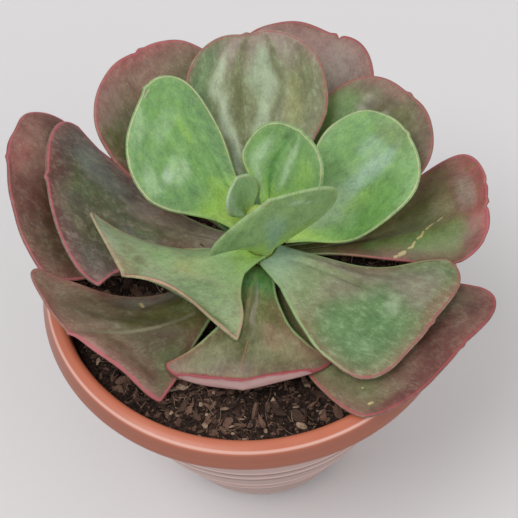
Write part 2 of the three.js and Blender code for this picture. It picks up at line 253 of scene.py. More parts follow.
# The look of each leaf. Along runs from 0 at the stem to 1 at the tip, and across from -1 at the right
# margin to 1 at the left.
# slot: the slot of the solid's material
# shades: the colours from the stem to the tip, as (along, colour)
# patches: soft spots of colour, as (along, across, half-length, half-width, colour, strength)
# flush: the colour that spreads in from the margin, with its depth in mm and its strength
# line, line_from, line_right: the margin's thin line with its width in mm, the stretch along the leaf
# in which it takes on its colour, and how strong it is on the right, as a share of the left
# mottle: the colour of the small irregular blotches, with their strength
# back, back_share, bloom: the underside's colour, how much of it shows there, and the powder's strength
# folds: ridges, or channels where the height is negative, as (across at the stem, across at the tip,
# half-width, height in mm, first along, last along)
# nicks: small notches of the margin, as (x, y, depth, half-width) in mm
# scars: dry lines and spots, as (places, half-width, colour) in mm
# lip: the margin's upturned underside at the tip, as (depth, half-length) in mm
# nib, dent, nib_at, ripple: the point at the tip, the hollow round it, how far left of the midrib both
# lie, and the height of the margin's ripples, in mm
# COMMON_LOOK is what a leaf has unless its own look says otherwise, and YOUNG what the five inner
# leaves share
COMMON_LOOK = dict(
    patches=(), flush=(ROSE, 4, 0.4), line=(PINK, 0.3), back=DUSTY_ROSE, back_share=0.6, bloom=0.25,
    nib=0.9, dent=0.5, nib_at=0, ripple=0.5, folds=(), nicks=(), scars=(), lip=(0, 1),
    line_from=(0.12, 0.5), line_right=1, mottle=(GREY_TAN, 0.4),
)
YOUNG = dict(
    slot="leaf_green", mottle=(LIME, 0.2), flush=(CREAM, 0.8, 0.15), line=(CREAM, 0.15),
    back=BACK_GREEN, nib=0.7, dent=0.3, ripple=0.35,
)

LOOKS = {
    "leaf_01": dict(
        slot="leaf_dark", mottle=(DUSTY_ROSE, 0.3),
        shades=((0, OLIVE), (0.5, UMBER), (0.75, BRONZE), (0.9, WINE), (1, WINE)),
        patches=(
            (0.91, -0.35, 0.1, 0.5, ROSE_TAN, 0.9), (0.82, 0.8, 0.14, 0.4, UMBER, 0.8),
            (0.99, -0.1, 0.05, 0.5, BRICK, 0.5),
        ),
        folds=((-0.1, -0.25, 0.2, -0.9, 0.5, 1), (0.5, 0.4, 0.2, 0.6, 0.5, 1)),
        scars=((((104, -19), (108, -17)), 0.3, ROSE_TAN),),
    ),
    "leaf_02": dict(
        slot="leaf_dark", mottle=(GREY_TAN, 0.3),
        shades=((0, PINE), (0.4, OLIVE), (0.72, KHAKI), (0.93, DUSTY_ROSE), (1, BRICK)),
        patches=(
            (0.55, 0.85, 0.25, 0.3, DARK_OLIVE, 0.7), (0.84, 0.85, 0.12, 0.25, MAUVE, 0.6),
            (0.84, 0.1, 0.07, 0.35, ROSE_TAN, 0.6), (0.62, -0.3, 0.1, 0.3, MOSS, 0.5),
            (0.72, 0.45, 0.07, 0.2, TAUPE, 0.7),
        ),
        folds=((0.3, 0.25, 0.15, -0.7, 0.2, 0.95),),
        nicks=((101, 12, 0.8, 2), (108, 2, 0.9, 1.5)),
    ),
    "leaf_03": dict(
        slot="leaf_red", mottle=(DUSTY_ROSE, 0.4),
        shades=((0, OLIVE), (0.5, TAUPE), (0.72, GREY_TAN), (0.9, MAUVE), (1, DUSTY_ROSE)),
        patches=(
            (0.74, -0.75, 0.15, 0.3, MAROON, 0.35), (0.9, -0.3, 0.08, 0.3, GREY_TAN, 0.6),
            (0.8, 0.3, 0.1, 0.3, KHAKI, 0.5),
        ),
        line=(RED, 0.3), folds=((-0.3, -0.35, 0.15, -0.7, 0.4, 1),), nicks=((115, -2, 2.4, 1.2),),
    ),
    "leaf_04": dict(
        slot="leaf_olive", mottle=(OLIVE, 0.5), bloom=0.12,
        shades=((0, DARK_OLIVE), (0.45, DARK_OLIVE), (0.7, OLIVE), (0.87, DUSTY_ROSE), (1, BRICK)),
        patches=(
            (0.76, -0.5, 0.13, 0.4, GRASS, 0.7), (0.76, 0.25, 0.08, 0.25, TAN_OLIVE, 0.8),
            (0.55, -0.4, 0.15, 0.3, GRASS, 0.7), (0.6, -0.95, 0.25, 0.3, DARK_OLIVE, 0.9),
            (0.9, -0.8, 0.06, 0.3, WINE, 0.7), (0.5, 0.85, 0.3, 0.3, TAUPE, 0.6),
            (0.9, 0.35, 0.05, 0.3, GREY_TAN, 0.8), (0.62, 0.1, 0.12, 0.25, KHAKI, 0.5),
        ),
        flush=(ROSE, 5, 0.5), folds=((0.1, 0.1, 0.12, -0.9, 0.2, 0.95),),
        nicks=((101, 10, 0.7, 1.4), (102, -2, 0.9, 1.2), (97, -14, 0.8, 1.5), (83, -22, 0.7, 1.8)),
        scars=(
            (((79, 2), (77, 1)), 0.5, STRAW),
            (((74.5, 0), (71.5, -2)), 0.6, STRAW),
            (((70, -3), (69, -5), (67, -5.5)), 0.6, STRAW),
            (((65.5, -7), (64, -9), (62.5, -9)), 0.7, STRAW),
            (((60, -10.5), (58, -11)), 1.2, STRAW),
            (((56, -11.5), (55.5, -11.5)), 0.9, STRAW),
        ),
    ),
    "leaf_05": dict(
        slot="leaf_dark", mottle=(DUSTY_ROSE, 0.25),
        shades=((0, OLIVE), (0.5, OLIVE), (0.7, TAUPE), (0.86, MAROON), (1, WINE)),
        patches=(
            (0.62, -0.75, 0.15, 0.3, KHAKI, 0.6), (0.8, -0.75, 0.1, 0.25, KHAKI, 0.7),
            (0.96, 0.5, 0.08, 0.4, DUSTY_ROSE, 0.5), (0.85, -0.4, 0.08, 0.4, DUSTY_ROSE, 0.35),
        ),
        line=(RED, 0.3), folds=((-0.4, -0.4, 0.15, 0.7, 0.3, 1),),
        scars=((((80, -46), (80.5, -45)), 0.8, STRAW), (((72, -40), (72.4, -40)), 0.5, STRAW)),
    ),
    "leaf_06": dict(
        slot="leaf_dark", mottle=(DARK_OLIVE, 0.4),
        shades=((0, DARK_OLIVE), (0.4, OLIVE), (0.62, UMBER), (0.8, TAUPE), (1, DUSTY_ROSE)),
        patches=(
            (0.48, -0.75, 0.14, 0.3, GLAUCOUS, 0.7), (0.55, 0.1, 0.2, 0.2, DARK_OLIVE, 0.7),
            (0.8, -0.35, 0.1, 0.3, UMBER, 0.5), (0.7, 0.5, 0.12, 0.2, UMBER, 0.7),
            (0.68, 0.88, 0.14, 0.22, MOSS, 0.9), (0.85, 0.75, 0.05, 0.12, WINE, 0.6),
        ),
        line=(PINK, 0.6), line_from=(0.4, 0.8), line_right=0.2,
        folds=((1.47, -0.42, 0.12, 1.5, 0.4, 0.95), (1.1, -0.7, 0.16, -1, 0.35, 0.9)),
        scars=(
            (((50, -9), (51, -6)), 0.9, STRAW),
            (((85, 0.5), (79, 4), (72, 6), (64, 8), (56, 9.5), (46, 10), (36, 9.5)), 0.9, RIDGE_OLIVE),
        ),
    ),
    "leaf_07": dict(
        slot="leaf_dark", shades=((0, GREY_TAN), (0.35, TAUPE), (0.6, SLATE), (0.85, SLATE), (1, MAROON)),
        patches=(
            (0.8, -0.2, 0.1, 0.25, MOSS, 0.75), (0.66, -0.05, 0.1, 0.3, MOSS, 0.6),
            (0.78, 0.38, 0.12, 0.25, DARK_OLIVE, 0.6), (0.68, 0.62, 0.12, 0.25, DARK_OLIVE, 0.5),
            (0.73, -0.6, 0.1, 0.3, GLAUCOUS, 0.75), (0.55, 0.6, 0.1, 0.3, GLAUCOUS, 0.5),
            (0.45, -0.3, 0.15, 0.3, GREY_TAN, 0.6), (0.5, 0.3, 0.1, 0.3, MOSS, 0.6),
            (0.9, 0.1, 0.06, 0.3, TAUPE, 0.6),
        ),
        flush=(ROSE, 3, 0.4), line=(PINK, 0.4), back=GLAUCOUS,
        folds=((0.3, 0.15, 0.15, 0.7, 0.3, 1), (-0.5, -0.4, 0.2, -0.8, 0.3, 1)),
        scars=((((19.5, 5.5), (21, 5)), 0.5, NEAR_BLACK),),
    ),
    "leaf_08": dict(
        slot="leaf_olive", mottle=(KHAKI, 0.5),
        shades=((0, PINE), (0.4, GRASS), (0.62, GRASS), (0.8, OLIVE), (1, TAUPE)),
        patches=(
            (0.72, -0.3, 0.2, 0.35, OLIVE, 0.7), (0.82, -0.85, 0.15, 0.3, TAUPE, 0.8),
            (0.66, 0.74, 0.18, 0.3, GRASS, 0.95), (0.97, 0.4, 0.05, 0.5, DUSTY_ROSE, 0.6),
            (0.86, 0.3, 0.06, 0.2, UMBER, 0.7), (0.86, 0.6, 0.03, 0.09, STONE, 0.5),
            (0.8, 0.45, 0.025, 0.12, STONE, 0.5), (0.84, 0.08, 0.03, 0.07, STONE, 0.5),
            (0.78, -0.2, 0.05, 0.2, UMBER, 0.5),
        ),
        line=(ROSE, 0.4), folds=((0.3, 0.3, 0.12, -0.8, 0.2, 0.95), (-0.4, -0.4, 0.15, 0.5, 0.2, 0.9)),
    ),
    "leaf_09": dict(
        slot="leaf_olive", mottle=(SAGE, 0.3),
        shades=((0, PINE), (0.4, KHAKI), (0.75, KHAKI), (0.93, GREY_TAN), (1, GREY_TAN)),
        patches=(
            (0.65, 0.9, 0.4, 0.25, DEEP_GREEN, 0.8), (0.42, 0.47, 0.25, 0.09, CHANNEL, 0.9),
            (0.76, 0.56, 0.14, 0.08, CHANNEL, 0.8), (0.7, 0.26, 0.4, 0.1, OLIVE, 0.75),
            (0.5, -0.08, 0.2, 0.14, SAGE, 0.95), (0.82, -0.11, 0.14, 0.19, SAGE, 0.9),
            (0.7, -0.33, 0.36, 0.08, OLIVE, 0.75), (0.66, -0.55, 0.12, 0.14, YELLOW_OLIVE, 0.6),
            (0.75, -0.8, 0.2, 0.15, OLIVE, 0.5),
        ),
        flush=(ROSE, 2, 0.35), line=(ROSE, 0.25), dent=1.6, nib_at=4,
        folds=((0.44, 0.62, 0.08, -1, 0.15, 1), (-0.09, -0.12, 0.13, -1.1, 0.2, 1),
               (0.3, 0.3, 0.14, 0.8, 0.2, 1), (-0.45, -0.5, 0.16, 0.8, 0.2, 1)),
    ),
    "leaf_10": dict(
        slot="leaf_olive", mottle=(SAGE, 0.3),
        shades=((0, SKY_GREEN), (0.22, GREY_GREEN), (0.45, KHAKI), (0.75, DEEP_GREEN), (1, KHAKI)),
        patches=(
            (0.55, 0.6, 0.3, 0.3, GREY_TAN, 0.65), (0.45, -0.2, 0.12, 0.3, GREY_TAN, 0.5),
            (0.8, -0.72, 0.12, 0.3, MOSS, 0.7), (0.8, 0.35, 0.12, 0.3, GREY_TAN, 0.7),
            (0.7, -0.5, 0.25, 0.4, DEEP_GREEN, 0.7), (0.78, -0.05, 0.04, 0.14, SAGE, 0.7),
            (0.62, 0.05, 0.06, 0.12, SAGE, 0.4), (0.97, 0.4, 0.06, 0.5, DUSTY_ROSE, 0.5),
        ),
        flush=(ROSE, 3, 0.4), line=(ROSE, 0.4), line_from=(0.55, 0.9), back=GREY_TAN,
        folds=((0.1, 0.1, 0.16, -1.1, 0.1, 0.95), (0.5, 0.5, 0.18, 0.8, 0.1, 0.95),
               (-0.45, -0.45, 0.18, 0.7, 0.2, 0.95)),
    ),
    "leaf_11": dict(
        slot="leaf_olive", mottle=(TAN_OLIVE, 0.35),
        shades=((0, GRASS), (0.22, PINE), (0.4, OLIVE), (0.7, OLIVE), (0.9, TAUPE), (1, TAN_OLIVE)),
        patches=(
            (0.42, 0.07, 0.24, 0.075, STONE, 0.7), (0.4, -0.15, 0.2, 0.08, TAN_OLIVE, 0.7),
            (0.65, -0.05, 0.12, 0.25, DARK_OLIVE, 0.6), (0.62, 0.45, 0.1, 0.2, ROSE_TAN, 0.5),
            (0.8, -0.6, 0.12, 0.3, KHAKI, 0.7), (0.55, -0.6, 0.18, 0.3, MOSS, 0.6),
            (0.7, 0.7, 0.15, 0.3, TAN_OLIVE, 0.7), (0.77, -0.14, 0.07, 0.14, DARK_OLIVE, 0.9),
        ),
        line=(CRIMSON, 0.6), line_from=(0.6, 0.95), back=BLUSH, lip=(3.6, 30), nib=0.2, dent=0.1,
        folds=((0, 0, 0.12, -1, 0.1, 0.85), (0.3, 0.3, 0.15, 0.6, 0.1, 0.9),
               (-0.3, -0.3, 0.15, 0.7, 0.1, 0.9)),
        scars=((((42, 0), (50, -1.2), (56, -2)), 0.35, SCAR_BROWN),),
    ),
    "leaf_12": dict(
        slot="leaf_olive", mottle=(PALE_GREEN, 0.5),
        shades=((0, LIME), (0.25, PALE_GREEN), (0.55, GREY_GREEN), (0.85, GREY_GREEN), (1, TAN_OLIVE)),
        patches=(
            (0.66, 0.42, 0.12, 0.3, DEEP_GREEN, 0.4), (0.45, 0, 0.12, 0.25, YELLOW_OLIVE, 0.7),
            (0.6, -0.4, 0.1, 0.3, PALE_GREEN, 0.7), (0.85, -0.3, 0.08, 0.35, KHAKI, 0.8),
            (0.82, 0.1, 0.08, 0.2, SAGE, 0.5), (0.38, 0.1, 0.1, 0.3, PALE_GREEN, 0.6),
            (0.78, 0.15, 0.07, 0.2, STONE, 0.7), (0.95, -0.7, 0.1, 0.4, SAGE, 0.8),
            (0.9, 0.8, 0.08, 0.2, MOSS, 0.4),
        ),
        flush=(SALMON, 1.5, 0.4), line=(SALMON, 0.25), line_from=(0.4, 0.8), line_right=0.4,
        back=GREY_GREEN,
        folds=((0.1, 0.1, 0.14, -0.8, 0.1, 0.9), (0.5, 0.5, 0.15, 0.6, 0.2, 0.95)),
    ),
    "leaf_13": dict(
        shades=((0, YELLOW_GREEN), (0.18, LIME), (0.4, FRESH_GREEN), (1, FRESH_GREEN)),
        patches=(
            (0.6, -0.1, 0.34, 0.14, SKY_GREEN, 0.8), (0.8, 0.25, 0.1, 0.2, SKY_GREEN, 0.4),
            # The mint patch near the neck is partly the leaf's pale colour and partly painted light that
            # lifts the shade there
            (0.97, 0.2, 0.1, 0.6, KHAKI, 0.45), (0.32, -0.2, 0.2, 0.4, MINT, 0.9),
            (0.5, -0.35, 0.1, 0.12, LIME, 0.5), (0.5, -0.7, 0.3, 0.3, CLEAR_GREEN, 0.8),
            (0.6, 0.7, 0.2, 0.25, CLEAR_GREEN, 0.4),
        ),
        folds=((-0.05, -0.05, 0.12, -0.9, 0.1, 0.95), (0.3, 0.3, 0.15, 0.5, 0.1, 0.95)), **YOUNG,
    ),
    "leaf_14": dict(
        shades=((0, YELLOW_GREEN), (0.16, LIME), (0.36, LEAF_GREEN), (1, LEAF_GREEN)),
        patches=(
            (0.6, 0.85, 0.3, 0.22, DEEP_GREEN, 0.5), (0.57, 0.46, 0.08, 0.16, MINT, 0.6),
            (0.52, 0.3, 0.05, 0.1, MINT, 0.6), (0.62, 0.58, 0.04, 0.08, FROST, 0.4),
            (0.78, 0.1, 0.12, 0.25, CLEAR_GREEN, 0.6), (0.42, 0.1, 0.12, 0.2, CLEAR_GREEN, 0.6),
            (0.92, 0.6, 0.06, 0.25, MINT, 0.5), (0.66, -0.2, 0.1, 0.12, LIME, 0.5),
            (0.7, 0.8, 0.1, 0.1, MINT, 0.6), (0.35, 0.5, 0.08, 0.25, DEEP_GREEN, 0.4),
            (0.25, 0, 0.12, 0.2, LIME, 0.6), (0.6, -0.78, 0.3, 0.2, DEEP_GREEN, 0.7),
            (0.8, 0.1, 0.08, 0.3, MINT, 0.4),
        ),
        folds=((-0.5, -0.5, 0.1, -0.7, 0.1, 0.95), (0.5, 0.5, 0.2, -0.5, 0.3, 0.9)),
        scars=((((77, 3), (76.8, -1)), 0.4, BONE),), **YOUNG,
    ),
    "leaf_15": dict(
        shades=((0, YELLOW_GREEN), (0.2, LIME), (0.4, BACK_GREEN), (1, BACK_GREEN)),
        patches=(
            (0.45, 0.05, 0.3, 0.18, SEA_GREEN, 0.8), (0.3, -0.7, 0.15, 0.3, LIME, 0.6),
            (0.75, 0.3, 0.15, 0.4, PALE_GREEN, 0.4), (0.7, -0.8, 0.25, 0.3, DEEP_GREEN, 0.4),
            (0.84, 0.45, 0.04, 0.12, FROST, 0.6), (0.78, 0.62, 0.03, 0.06, FROST, 0.6),
            (0.7, 0.5, 0.25, 0.35, BACK_GREEN, 0.5),
        ),
        back_share=0.1, scars=((((48.5, -2), (48.5, 0)), 0.4, SCAR_BROWN),), **YOUNG,
    ),
    "leaf_16": dict(
        shades=((0, LIME), (0.2, LIME), (0.4, FRESH_GREEN), (1, FRESH_GREEN)),
        patches=(
            (0.45, 0.66, 0.3, 0.14, MINT, 0.9), (0.62, -0.04, 0.3, 0.09, MINT, 0.9),
            (0.5, 0.3, 0.4, 0.06, CREASE_GREEN, 0.9), (0.6, -0.5, 0.25, 0.25, LIME, 0.45),
            (0.85, 0.3, 0.08, 0.3, DEEP_GREEN, 0.5),
        ),
        folds=((0.35, 0.28, 0.08, -1, 0.1, 0.98), (0.05, -0.04, 0.12, 0.5, 0.1, 0.9)), **YOUNG,
    ),
    "leaf_17": dict(
        shades=((0, YELLOW_GREEN), (0.4, MINT), (1, MINT)),
        patches=((0.5, 0.75, 0.5, 0.3, FROST, 0.8),), **YOUNG,
    ),
}

# The margin's small forms. As shares: how far along the lower blade the point lies from which the
# ripples and nicks point away, and where along the leaf the ripples begin. In mm: the ripples' length
# and reach, how far in the nicks, the nib and the dent reach, and the half-widths of the last two
RIPPLE_CENTRE = 0.8
RIPPLES_BEGIN = (0.25, 0.6)
RIPPLE_LENGTH = 26
RIPPLE_REACH = 5
NICK_REACH = 3
TIP_REACH = 4
NIB_WIDTH = 1.5
DENT_WIDTH = 7

# Waves over the blades, as (height, wave length in mm, number of the random draw). In mm: fine ridges,
# drawn out along the blade, and broad waves. As shares: how far the shades drift along it, the patches
# sway across it and the flush comes and goes
FINE_WAVES = (0.22, 11, 0)
FINE_DRAWN_OUT = 4
BROAD_WAVES = (0.35, 40, 40)
DRIFT = (0.04, 34, 80)
SWAY = (0.05, 22, 100)
FLUSH_CHANGE = (0.35, 20, 120)

# The groove along the midrib, as (depth in mm, half-width as a share), and the ridge along a lip, as
# (height, half-width) in mm
GROOVE = (0.4, 0.1)
LIP_RIDGE = (0.5, 0.9)

# How far from the margin the relief fades in, in mm, how long a fold takes to rise, as a share of the
# length, and how much of the relief the underside has
RELIEF_FADE = 2
FOLD_RISE = 0.15
RELIEF_BELOW = 0.8

# How far in from the margin the blade thins at its tip, in mm
THINNING = 6

# How clear the border of a patch is: 1 is the softest
PATCH_EDGE = 1.5

# How fast the margin's line fades round the rim, in mm from the upper skin to the underside
RIM_FADE = 2.4


def lerp(a, b, share):
    """The value at that share of the way from a to b."""
    return a + (b - a) * share


def smooth(low, high, value):
    """0 below low, 1 above high and a smooth step between."""
    share = np.clip((value - low) / (high - low), 0, 1)
    return share * share * (3 - 2 * share)


def bell(away, width):
    """1 in the middle, and a smooth fall to both sides over about that width."""
    return np.exp(-((away / width) ** 2))


def fade(border, reach):
    """1 at the margin, and less the further a point lies from it."""
    return np.exp(-border / reach)


def stem_radius(height):
    """Half-thickness of the stem at a height above the pot's base."""
    share = np.clip((height - TAPER_FROM) / TAPER_LENGTH, 0, 1)
    return lerp(STEM_THICK, STEM_THIN, share)


# Leaf form

def seat_radius(leaf):
    """Distance from the stem's axis to the end of a leaf's neck."""
    return stem_radius(leaf["height"] - FLESH_AT_STEM) + GAP


def width_share(leaf, s, t):
    """The width of each half up to the blade's widest place, as a share of the greatest."""
    swell = np.where(t > 0, *leaf["swell"])
    flare = np.where(t > 0, *leaf["flare"])
    u = np.clip(s / leaf["widest"], 0, 1)
    early = np.sin(math.pi / 2 * u) ** swell
    late = u ** (swell + 1)
    return lerp(leaf["neck"], 1, lerp(early, late, flare))


def blade_grid(leaf):
    """The grid of a blade: s along it, v across it as a share of the full half-width, and t across it
    as a share of the half-width there. The last rows bend round to end on the tip's outline, and k
    goes from 0 to 1 over them."""
    t = np.linspace(-1, 1, COLUMNS + 1)[None, :]
    low = np.linspace(0, leaf["widest"], LOW_ROWS + 1)[:, None]
    low_s = low + 0 * t
    low_v = width_share(leaf, low, t) * t
    k = np.linspace(0, 1, TIP_ROWS + 1)[1:, None]
    out = k * np.sqrt(1 - t ** 2 / 2)
    side = t * np.sqrt(1 - k ** 2 / 2)
    power = np.where(t > 0, *leaf["roundness"])
    size = np.hypot(out, side)
    stretch = ((out / size) ** power + np.abs(side / size) ** power) ** (-1 / power)
    out = out * stretch
    side = side * stretch
    tip_s = leaf["widest"] + (1 - leaf["widest"]) * out
    local = np.maximum(1 - out ** power, 1e-9) ** (1 / power)
    tip_t = np.clip(side / np.maximum(local, np.abs(side) + 1e-9), -1, 1)
    s = np.vstack([low_s, tip_s])
    v = np.vstack([low_v, side])
    t = np.vstack([low_s * 0 + t, tip_t])
    k = np.vstack([low_s * 0, k + 0 * side])
    return s, v, t, k


def margin_loop(grid):
    """The grid's border without the neck: up the right side, over the tip and down the left side."""
    return np.concatenate([grid[:-1, 0], grid[-1], grid[-2::-1, -1]])


def midrib(leaf):
    """Places along a leaf's midrib, in the leaf's own frame: X outward, Y to the left, Z up."""
    s = np.linspace(0, 1, MIDRIB_STEPS + 1)
    low, middle, high = leaf["rise"]
    pitch = np.radians(low * (1 - s) ** 2 + 2 * middle * s * (1 - s) + high * s ** 2)
    heading = np.radians(leaf["turn"] * s ** 2)
    along = np.stack([np.cos(pitch) * np.cos(heading), np.cos(pitch) * np.sin(heading), np.sin(pitch)], -1)
    left = np.stack([-np.sin(heading), np.cos(heading), 0 * s], -1)
    up = np.cross(along, left)
    step = leaf["length"] / MIDRIB_STEPS
    steps = (along[1:] + along[:-1]) / 2 * step
    point = np.vstack([np.zeros(3), np.cumsum(steps, axis=0)])
    point[:, 0] += seat_radius(leaf)
    return s, point, along, left, up


def wave_lift(wave, s, v):
    """How far one wave of the margin, given by its height, place and reach, lifts the blade at s
    along it and v across it."""
    height, place, reach = wave
    return height * bell(s - place, reach) * 4 * v * (1 - v)


def at(places, values, s):
    """Values given along the midrib, read at s. Beyond the tip they stay as they are there."""
    inside = np.clip(s, 0, 1)
    return np.stack([np.interp(inside, places, values[:, axis]) for axis in range(3)], -1)


def ripples(x, y, seed, length):
    """A smooth field, mostly from -1 to 1, over the blade's plane, with waves of about that length."""
    rng = np.random.default_rng(seed)
    total = 0
    for _ in range(4):
        angle = rng.uniform(0, 2 * math.pi)
        wave = 2 * math.pi / (length * rng.uniform(0.7, 1.5))
        phase = rng.uniform(0, 2 * math.pi)
        total = total + np.sin(wave * (math.cos(angle) * x + math.sin(angle) * y) + phase)
    return total / 2.5


def waves(form, x, y, seed):
    """A leaf's own draw of the waves that are given as (height, wave length, number of the draw)."""
    height, length, draw = form
    return height * ripples(x, y, SEED + draw + seed, length)


def margin_swing(look, x, y, s, border, seed):
    """How far the ripples and nicks move each point of the blade out, in mm."""
    swing = waves((look["ripple"], RIPPLE_LENGTH, 0), x, y, seed)
    swing = swing * fade(border, RIPPLE_REACH) * smooth(*RIPPLES_BEGIN, s)
    for nick_x, nick_y, depth, width in look["nicks"]:
        away = np.hypot(x - nick_x, y - nick_y)
        swing = swing - depth * bell(away, width) * fade(border, NICK_REACH)
    return swing


def flat_blade(leaf, look, seed):
    """The blade laid flat: x along it and y across it in mm, with what each grid point is and how far
    it lies from the margin. The outline gets its nib, dent, nicks and ripples here."""
    s, v, t, k = blade_grid(leaf)
    rim = FLESH_AT_MARGIN / 2
    half = np.where(t > 0, *leaf["half"]) * leaf["width"] / 2
    x = s * (leaf["length"] - rim)
    y = v * (half - rim)
    border = np.hypot(x[..., None] - margin_loop(x), y[..., None] - margin_loop(y)).min(-1)
    swing = margin_swing(look, x, y, s, border, seed)
    centre_x = leaf["length"] * leaf["widest"] * RIPPLE_CENTRE
    reach = np.hypot(x - centre_x, y) + 1e-6
    nib = look["nib"] * bell(y - look["nib_at"], NIB_WIDTH)
    dent = look["dent"] * bell(y - look["nib_at"], DENT_WIDTH)
    tip = k ** 3 * fade(border, TIP_REACH)
    x_new = x + swing * (x - centre_x) / reach + (nib - dent) * tip
    y_new = y + swing * y / reach
    lip_depth, lip_length = look["lip"]
    lip = lip_depth * np.maximum(1 - (y / lip_length) ** 2, 0) ** 0.5 * smooth(0, 0.3, k)
    return dict(x=x_new, y=y_new, s=s, t=t, border=border, edge=border - lip, half=half, k=k)


def relief(flat, look, seed):
    """Low folds and channels along the blade, in mm, upwards."""
    s, t = flat["s"], flat["t"]
    total = waves(FINE_WAVES, flat["x"] / FINE_DRAWN_OUT, flat["y"], seed)
    total = total + waves(BROAD_WAVES, flat["x"], flat["y"], seed)
    depth, width = GROOVE
    total = total - depth * bell(t, width) * (1 - smooth(0.2, 0.8, s))
    for start, end, width, height, first, last in look["folds"]:
        shown = smooth(first, first + FOLD_RISE, s) * (1 - smooth(last - FOLD_RISE, last, s))
        total = total + height * bell(t - lerp(start, end, s), width) * shown
    total = total * (1 - fade(flat["border"], RELIEF_FADE)) * smooth(0, 0.15, s)
    height, width = LIP_RIDGE
    return total + np.where(flat["edge"] < flat["border"], height * bell(flat["edge"], width), 0)


def flesh_depth(flat, s):
    """How thick the blade is at each point: less towards its tip and its margin."""
    core = lerp(FLESH_AT_STEM, FLESH_AT_TIP, np.clip(s, 0, 1))
    rim_share = np.maximum(flat["t"] ** 2, fade(flat["border"], THINNING) * flat["k"] ** 0.5)
    return lerp(core, FLESH_AT_MARGIN, np.clip(rim_share, 0, 1))


def blade_skins(leaf, flat, lift_extra):
    """The upper and lower skins in the leaf's frame."""
    places, point, along, left, up = midrib(leaf)
    s = flat["x"] / leaf["length"]
    is_left = flat["t"] > 0
    side = np.where(is_left, 1.0, -1.0)
    curl = np.where(is_left, *[lerp(*ends, s) for ends in leaf["curl"]])
    bend = np.radians(curl) * np.abs(flat["t"])
    bend = np.where(np.abs(bend) < 1e-6, 1e-6, bend)
    reach = np.abs(flat["y"])
    across = reach * np.sin(bend) / bend
    v = reach / flat["half"]
    lift = reach * (1 - np.cos(bend)) / bend
    lift = lift + np.where(is_left, *[wave_lift(wave, s, v) for wave in leaf["wave"]])
    lean = np.where(is_left, *leaf["lean"]) * np.minimum(1, s / leaf["widest"])
    along_here, left_here, up_here = (at(places, field, s) for field in (along, left, up))
    upper = at(places, point, s) + along_here * (np.maximum(s - 1, 0)[..., None] * leaf["length"])
    upper = upper + left_here * (side * across)[..., None] + up_here * lift[..., None]
    upper = upper + along_here * (lean * across)[..., None]
    outward = up_here * np.cos(bend)[..., None] - left_here * (side * np.sin(bend))[..., None]
    lower = upper - outward * flesh_depth(flat, s)[..., None]
    upper = upper + outward * lift_extra[..., None]
    lower = lower + outward * (lift_extra * RELIEF_BELOW)[..., None]
    return clasp(leaf, s, upper), clasp(leaf, s, lower)


def clasp(leaf, s, points):
    """Draws the neck in round the stem, as the solid model does, and keeps it out of the stem."""
    seat = seat_radius(leaf)
    y = np.minimum(np.abs(points[..., 1]), seat)
    nearest = np.sqrt(seat ** 2 - y ** 2)
    drawn = points[..., 0] - (seat - nearest) * np.maximum(0, 1 - s / CLASP)
    held = points.copy()
    held[..., 0] = np.maximum(drawn, nearest)
    return held


def rim_strip(upper, lower):
    """Rings of points that round the margin off, from the upper skin's border to the lower one's."""
    top = margin_loop(upper)
    bottom = margin_loop(lower)
    middle = (top + bottom) / 2
    radius = np.linalg.norm(top - bottom, axis=-1)[:, None] / 2
    thick = (top - bottom) / (2 * radius)
    tangent = np.gradient(middle, axis=0)
    out = np.cross(tangent, thick)
    out /= np.linalg.norm(out, axis=-1)[:, None] + 1e-12
    rings = []
    for step in range(1, RIM_STEPS):
        angle = math.pi * step / RIM_STEPS
        rings.append(middle + radius * (math.cos(angle) * thick + math.sin(angle) * out))
    return rings


def blade_faces(rows, columns):
    """Faces of a closed blade: both skins, the rounded margin and the neck's end."""
    count = (rows + 1) * (columns + 1)
    grid = np.arange(count).reshape(rows + 1, columns + 1)
    a, b, c, d = grid[:-1, :-1], grid[1:, :-1], grid[1:, 1:], grid[:-1, 1:]
    top = np.stack([a, b, c, d], -1).reshape(-1, 4)
    bottom = np.stack([a, d, c, b], -1).reshape(-1, 4) + count
    loop = margin_loop(grid)
    rings = [loop]
    for step in range(RIM_STEPS - 1):
        rings.append(2 * count + step * len(loop) + np.arange(len(loop)))
    rings.append(loop + count)
    faces = top.tolist() + bottom.tolist()
    for near, far in zip(rings[:-1], rings[1:]):
        faces += np.stack([near[:-1], far[:-1], far[1:], near[1:]], -1).tolist()
    for j in range(columns):
        faces.append([grid[0, j], grid[0, j + 1], grid[0, j + 1] + count, grid[0, j] + count])
    faces.append([ring[0] for ring in rings][::-1])
    faces.append([ring[-1] for ring in rings])
    return [[int(corner) for corner in face] for face in faces]


def blade_tint(look, flat, seed):
    """The colour of every grid point of the upper skin, from the leaf's shades and patches."""
    s, t = np.clip(flat["s"], 0, 1), flat["t"]
    drift = waves(DRIFT, flat["x"], flat["y"], seed)
    sway = waves(SWAY, flat["x"], flat["y"], seed)
    places = [place for place, _ in look["shades"]]
    colours = np.array([colour for _, colour in look["shades"]])
    tint = np.stack([np.interp(s + drift, places, colours[:, axis]) for axis in range(3)], -1)
    for along, across, long_reach, wide_reach, colour, strength in look["patches"]:
        away = ((s + drift - along) / long_reach) ** 4 + ((t + sway - across) / wide_reach) ** 2
        weight = strength * np.exp(-(away ** PATCH_EDGE))
        tint = lerp(tint, colour, weight[..., None])
    colour, depth, strength = look["flush"]
    patchy = 1 + waves(FLUSH_CHANGE, flat["x"], flat["y"], seed)
    weight = strength * fade(flat["border"], depth) * patchy * smooth(0.1, 0.5, s)
    return lerp(tint, colour, np.clip(weight, 0, 1)[..., None])


# Meshes

def make_mesh(name, points, faces):
    mesh = bpy.data.meshes.new(name)
    mesh.from_pydata((np.asarray(points) * MM).tolist(), [], faces)
    mesh.update()
    piece = bpy.data.objects.new(name, mesh)
    bpy.context.scene.collection.objects.link(piece)
    return piece


